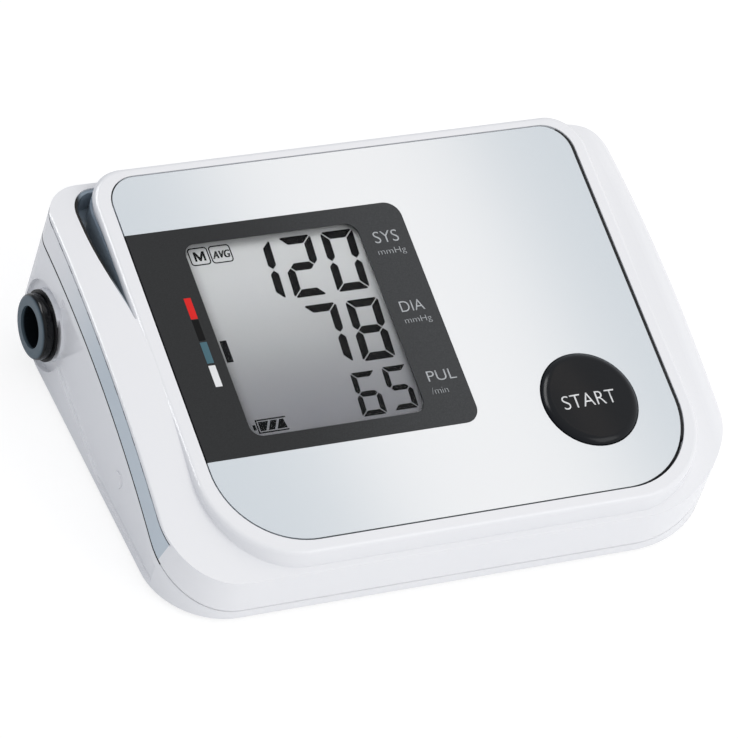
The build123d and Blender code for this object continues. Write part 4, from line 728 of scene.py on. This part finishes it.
# battery mark: an open outline, the cell's nub and three slanting bars
batteryMark = {
    "left": -44.5, "right": -36.85, "top": -16.55, "bottom": -20.1, "line": 0.34,
    "nub": {"reach": 0.95, "apart": 0.25, "under": 1.2, "over": 1.0},
    # x of each bar's lower left, lower right, upper right and upper left corner
    "bars": ((-43.9, -42.5, -41.3, -43.9), (-41.9, -40.3, -39.1, -40.7), (-39.7, -37.1, -37.5, -38.5)),
    "clear": 0.6,  # above and below the bars
}
left, right, top, bottom, line = [batteryMark[key] for key in ("left", "right", "top", "bottom", "line")]
nub, clear = batteryMark["nub"], batteryMark["clear"]
nubLeft, nubRight = left - nub["reach"], left - nub["apart"]
nubTop, nubBottom = top - nub["under"], bottom + nub["over"]
parts = [flatPiece("cell_outline", [
    (right, top), (left, top), (left, bottom), (right, bottom), (right, bottom + line),
    (left + line, bottom + line), (left + line, top - line), (right, top - line)])]
parts.append(flatPiece("cell_nub", [
    (nubLeft, nubTop), (nubLeft, nubBottom), (nubRight, nubBottom), (nubRight, nubTop)]))
for lowLeft, lowRight, highRight, highLeft in batteryMark["bars"]:
    parts.append(flatPiece("cell_bar", [
        (lowLeft, bottom + clear), (lowRight, bottom + clear),
        (highRight, top - clear), (highLeft, top - clear)]))
piece = joined(parts, "battery_mark")
raised(piece, display["thick"])
settle(piece, "darkSegment", display["depth"])
print("display marks done")

prints = {
    "thick": 0.02,
    # name and ink of each bar of the scale, and how far up the slope its middle is
    "bars": (("bar_red", "redInk", 12.7), ("bar_black", "blackInk", 7.0),
             ("bar_teal", "tealInk", 1.1), ("bar_white", "whiteInk", -5.0)),
    "barPlace": -50.7,
    "barSize": (1.7, 5.5),
    # name, word, middle, width, height, and how much its strokes are thinned
    "words": (("label_sys", "SYS", (3.6, 24.4), 6.3, 3.1, 0.02),
              ("label_sys_unit", "mmHg", (3.8, 20.3), 7.2, 2.05, 0.035),
              ("label_dia", "DIA", (3.4, 5.7), 6.1, 2.8, 0.02),
              ("label_dia_unit", "mmHg", (3.7, 1.8), 6.9, 2.05, 0.035),
              ("label_pul", "PUL", (4.0, -13.0), 7.3, 2.7, 0.02),
              ("label_pul_unit", "/min", (2.2, -16.8), 4.2, 1.7, 0.035)),
}
halfWide, halfHigh = [length / 2 for length in prints["barSize"]]
for name, ink, up in prints["bars"]:
    piece = flatPiece(name, [
        (-halfWide, -halfHigh), (halfWide, -halfHigh), (halfWide, halfHigh), (-halfWide, halfHigh)])
    raised(piece, prints["thick"])
    settle(piece, ink, at=(prints["barPlace"], up))
for name, word, middle, width, height, thin in prints["words"]:
    piece = wordPiece(name, word, width, height, thin=thin)
    raised(piece, prints["thick"])
    settle(piece, "greyInk", at=middle)

# START stands on the domed cap, so its lettering is laid down on the cap's own surface
lettering = {
    "word": "START", "middle": (37.6, -25.55), "size": (14.3, 3.6), "spacing": 1.02, "thin": 0.035,
    "above": 4.0,  # where it starts on its way down to the cap
    "clear": 0.04, "thick": 0.03,
}
piece = wordPiece("start_lettering", lettering["word"], *lettering["size"],
                  spacing=lettering["spacing"], thin=lettering["thin"])
letteringMiddle = [v * mm for v in (*lettering["middle"], lettering["above"])]
piece.data.transform(ontoFace @ Matrix.Translation(letteringMiddle))
wrap = piece.modifiers.new("ontoCap", "SHRINKWRAP")
wrap.target = nodes["start_button"]
wrap.wrap_mode = "ABOVE_SURFACE"
wrap.offset = lettering["clear"] * mm
bpy.ops.object.modifier_apply(modifier=wrap.name)
inkBody = piece.modifiers.new("inkBody", "SOLIDIFY")
inkBody.thickness = lettering["thick"] * mm
inkBody.offset = -1.0
bpy.ops.object.modifier_apply(modifier=inkBody.name)
piece.data.materials.clear()
piece.data.materials.append(made["whiteInk"])
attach(piece, "button")
print("lettering done")

# the spring under the cap gives way as the cap goes down; a wound coil stands for it
coil = {
    "middle": (38.5, -24.9), "depth": 6.0, "length": 5.7, "radius": 8.0, "wire": 0.3, "press": 0.8,  # mm
    "turns": 4, "round": 12, "steps": 48,  # turns, corners of the wire, and steps in a turn
}
bpy.ops.object.select_all(action="DESELECT")
bpy.ops.mesh.primitive_circle_add(vertices=coil["round"], radius=coil["wire"] * mm)
piece = bpy.context.object
piece.name = "cap_spring"
wireEnd = Matrix.Translation((0.0, coil["radius"] * mm, coil["wire"] * mm))
piece.data.transform(wireEnd @ Matrix.Rotation(math.radians(90.0), 4, "Y"))
wind = piece.modifiers.new("wind", "SCREW")
wind.iterations = coil["turns"]
wind.screw_offset = (coil["length"] - 2 * coil["wire"]) / coil["turns"] * mm
wind.steps = wind.render_steps = coil["steps"]
bpy.ops.object.modifier_apply(modifier=wind.name)
bpy.ops.object.mode_set(mode="EDIT")
bpy.ops.mesh.select_all(action="SELECT")
bpy.ops.mesh.fill_holes(sides=0)
bpy.ops.mesh.select_all(action="SELECT")
bpy.ops.mesh.normals_make_consistent(inside=False)
bpy.ops.object.mode_set(mode="OBJECT")
settle(piece, "springSteel", coil["depth"], at=coil["middle"])
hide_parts("button_spring")
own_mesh(piece)
print("spring wound")

# floor: white paper that glows a little where it is seen, so it stays white and keeps the shadow
floorPaper = {
    "size": 6.0,  # m
    "tones": ("#fbfbfc", "#ffffff"),
    "fibres": 0.9,  # per mm
    "glow": 1.12, "share": 0.7,  # its strength, and the share of glow in what is seen
}
bpy.ops.object.select_all(action="DESELECT")
bpy.ops.mesh.primitive_plane_add(size=floorPaper["size"])
floor = bpy.context.object
floor.name = "studio_floor"
paper, tree, place = newTree("paleFloorPaper")
fibre = addNode(tree, "ShaderNodeTexNoise", {"Vector": place, "Scale": floorPaper["fibres"] / mm})
tone = addNode(tree, "ShaderNodeMix", {
    0: fibre.outputs["Fac"], 6: linear(floorPaper["tones"][0]), 7: linear(floorPaper["tones"][1])},
    data_type="RGBA")
matt = addNode(tree, "ShaderNodeBsdfDiffuse", {"Color": tone.outputs[2]})
glow = addNode(tree, "ShaderNodeEmission", {"Color": linear("#ffffff"), "Strength": floorPaper["glow"]})
path = addNode(tree, "ShaderNodeLightPath")
seen = addNode(tree, "ShaderNodeMath", {
    0: path.outputs["Is Camera Ray"], 1: path.outputs["Is Transmission Ray"]}, operation="MAXIMUM")
share = addNode(tree, "ShaderNodeMath", {0: seen.outputs[0], 1: floorPaper["share"]}, operation="MULTIPLY")
both = addNode(tree, "ShaderNodeMixShader", {0: share.outputs[0], 1: matt.outputs[0], 2: glow.outputs[0]})
addNode(tree, "ShaderNodeOutputMaterial", {"Surface": both.outputs[0]})
floor.data.materials.append(paper)

studio = {
    "roomDim": "#59677d",  # the room's soft fill, from its dim side to its bright side
    "roomBright": "#ffffff",
    "bright": (0.55, -0.3, 0.78),  # direction of the bright side
    "lamps": (
        # name, place, point it looks at, width and length, direction of its length, watts, colour
        ("keyFront", (0.55, -0.75, 0.75), (0.0, 0.0, 0.02), (0.6, 0.6), (0.0, 0.0, 1.0), 2.2, "#ffffff"),
        ("stripOverFace", (0.288, 0.108, 0.556), (0.0016, 0.000845, 0.0305), (0.088, 0.5), (0.25, -0.97, 0.0),
         0.078, "#ffe6d2"),
        ("cardOverLeft", (-0.27, 0.33, 0.72), (0.0, 0.0, 0.02), (0.3, 0.62), (0.73, 0.68, -0.04),
         4.0, "#ffffff"),
    ),
    "onlyInGloss": ("cardOverLeft",),  # lamps that only reflections pick up
}
world = bpy.data.worlds.new("softRoom")
bpy.context.scene.world = world
world.use_nodes = True
world.node_tree.nodes.clear()
tree = world.node_tree
path = addNode(tree, "ShaderNodeLightPath")
way = addNode(tree, "ShaderNodeTexCoord").outputs["Generated"]
side = addNode(tree, "ShaderNodeVectorMath", {0: way, 1: studio["bright"]}, operation="DOT_PRODUCT")
share = addNode(tree, "ShaderNodeMapRange", {
    "Value": side.outputs["Value"], "From Min": -1.0, "From Max": 1.0})
wall = addNode(tree, "ShaderNodeMix", {
    0: share.outputs[0], 6: linear(studio["roomDim"]), 7: linear(studio["roomBright"])}, data_type="RGBA")
room = addNode(tree, "ShaderNodeBackground", {"Color": wall.outputs[2], "Strength": 1.0})
backdrop = addNode(tree, "ShaderNodeBackground", {"Color": linear("#ffffff"), "Strength": 1.0})
seen = addNode(tree, "ShaderNodeMath", {
    0: path.outputs["Is Camera Ray"], 1: path.outputs["Is Transmission Ray"]}, operation="MAXIMUM")
both = addNode(tree, "ShaderNodeMixShader", {0: seen.outputs[0], 1: room.outputs[0], 2: backdrop.outputs[0]})
addNode(tree, "ShaderNodeOutputWorld", {"Surface": both.outputs[0]})
for name, spot, target, size, along, watts, tint in studio["lamps"]:
    back = (Vector(spot) - Vector(target)).normalized()
    side = Vector(along).cross(back).normalized()
    turn = Matrix((side, back.cross(side), back)).transposed().to_euler()
    bpy.ops.object.select_all(action="DESELECT")
    bpy.ops.object.light_add(type="AREA", location=spot, rotation=turn)
    lamp = bpy.context.object
    lamp.name = name
    lamp.data.shape = "RECTANGLE"
    lamp.data.size, lamp.data.size_y = size
    lamp.data.energy = watts
    lamp.data.color = linear(tint)[:3]
    lamp.visible_diffuse = name not in studio["onlyInGloss"]
print("studio lit")
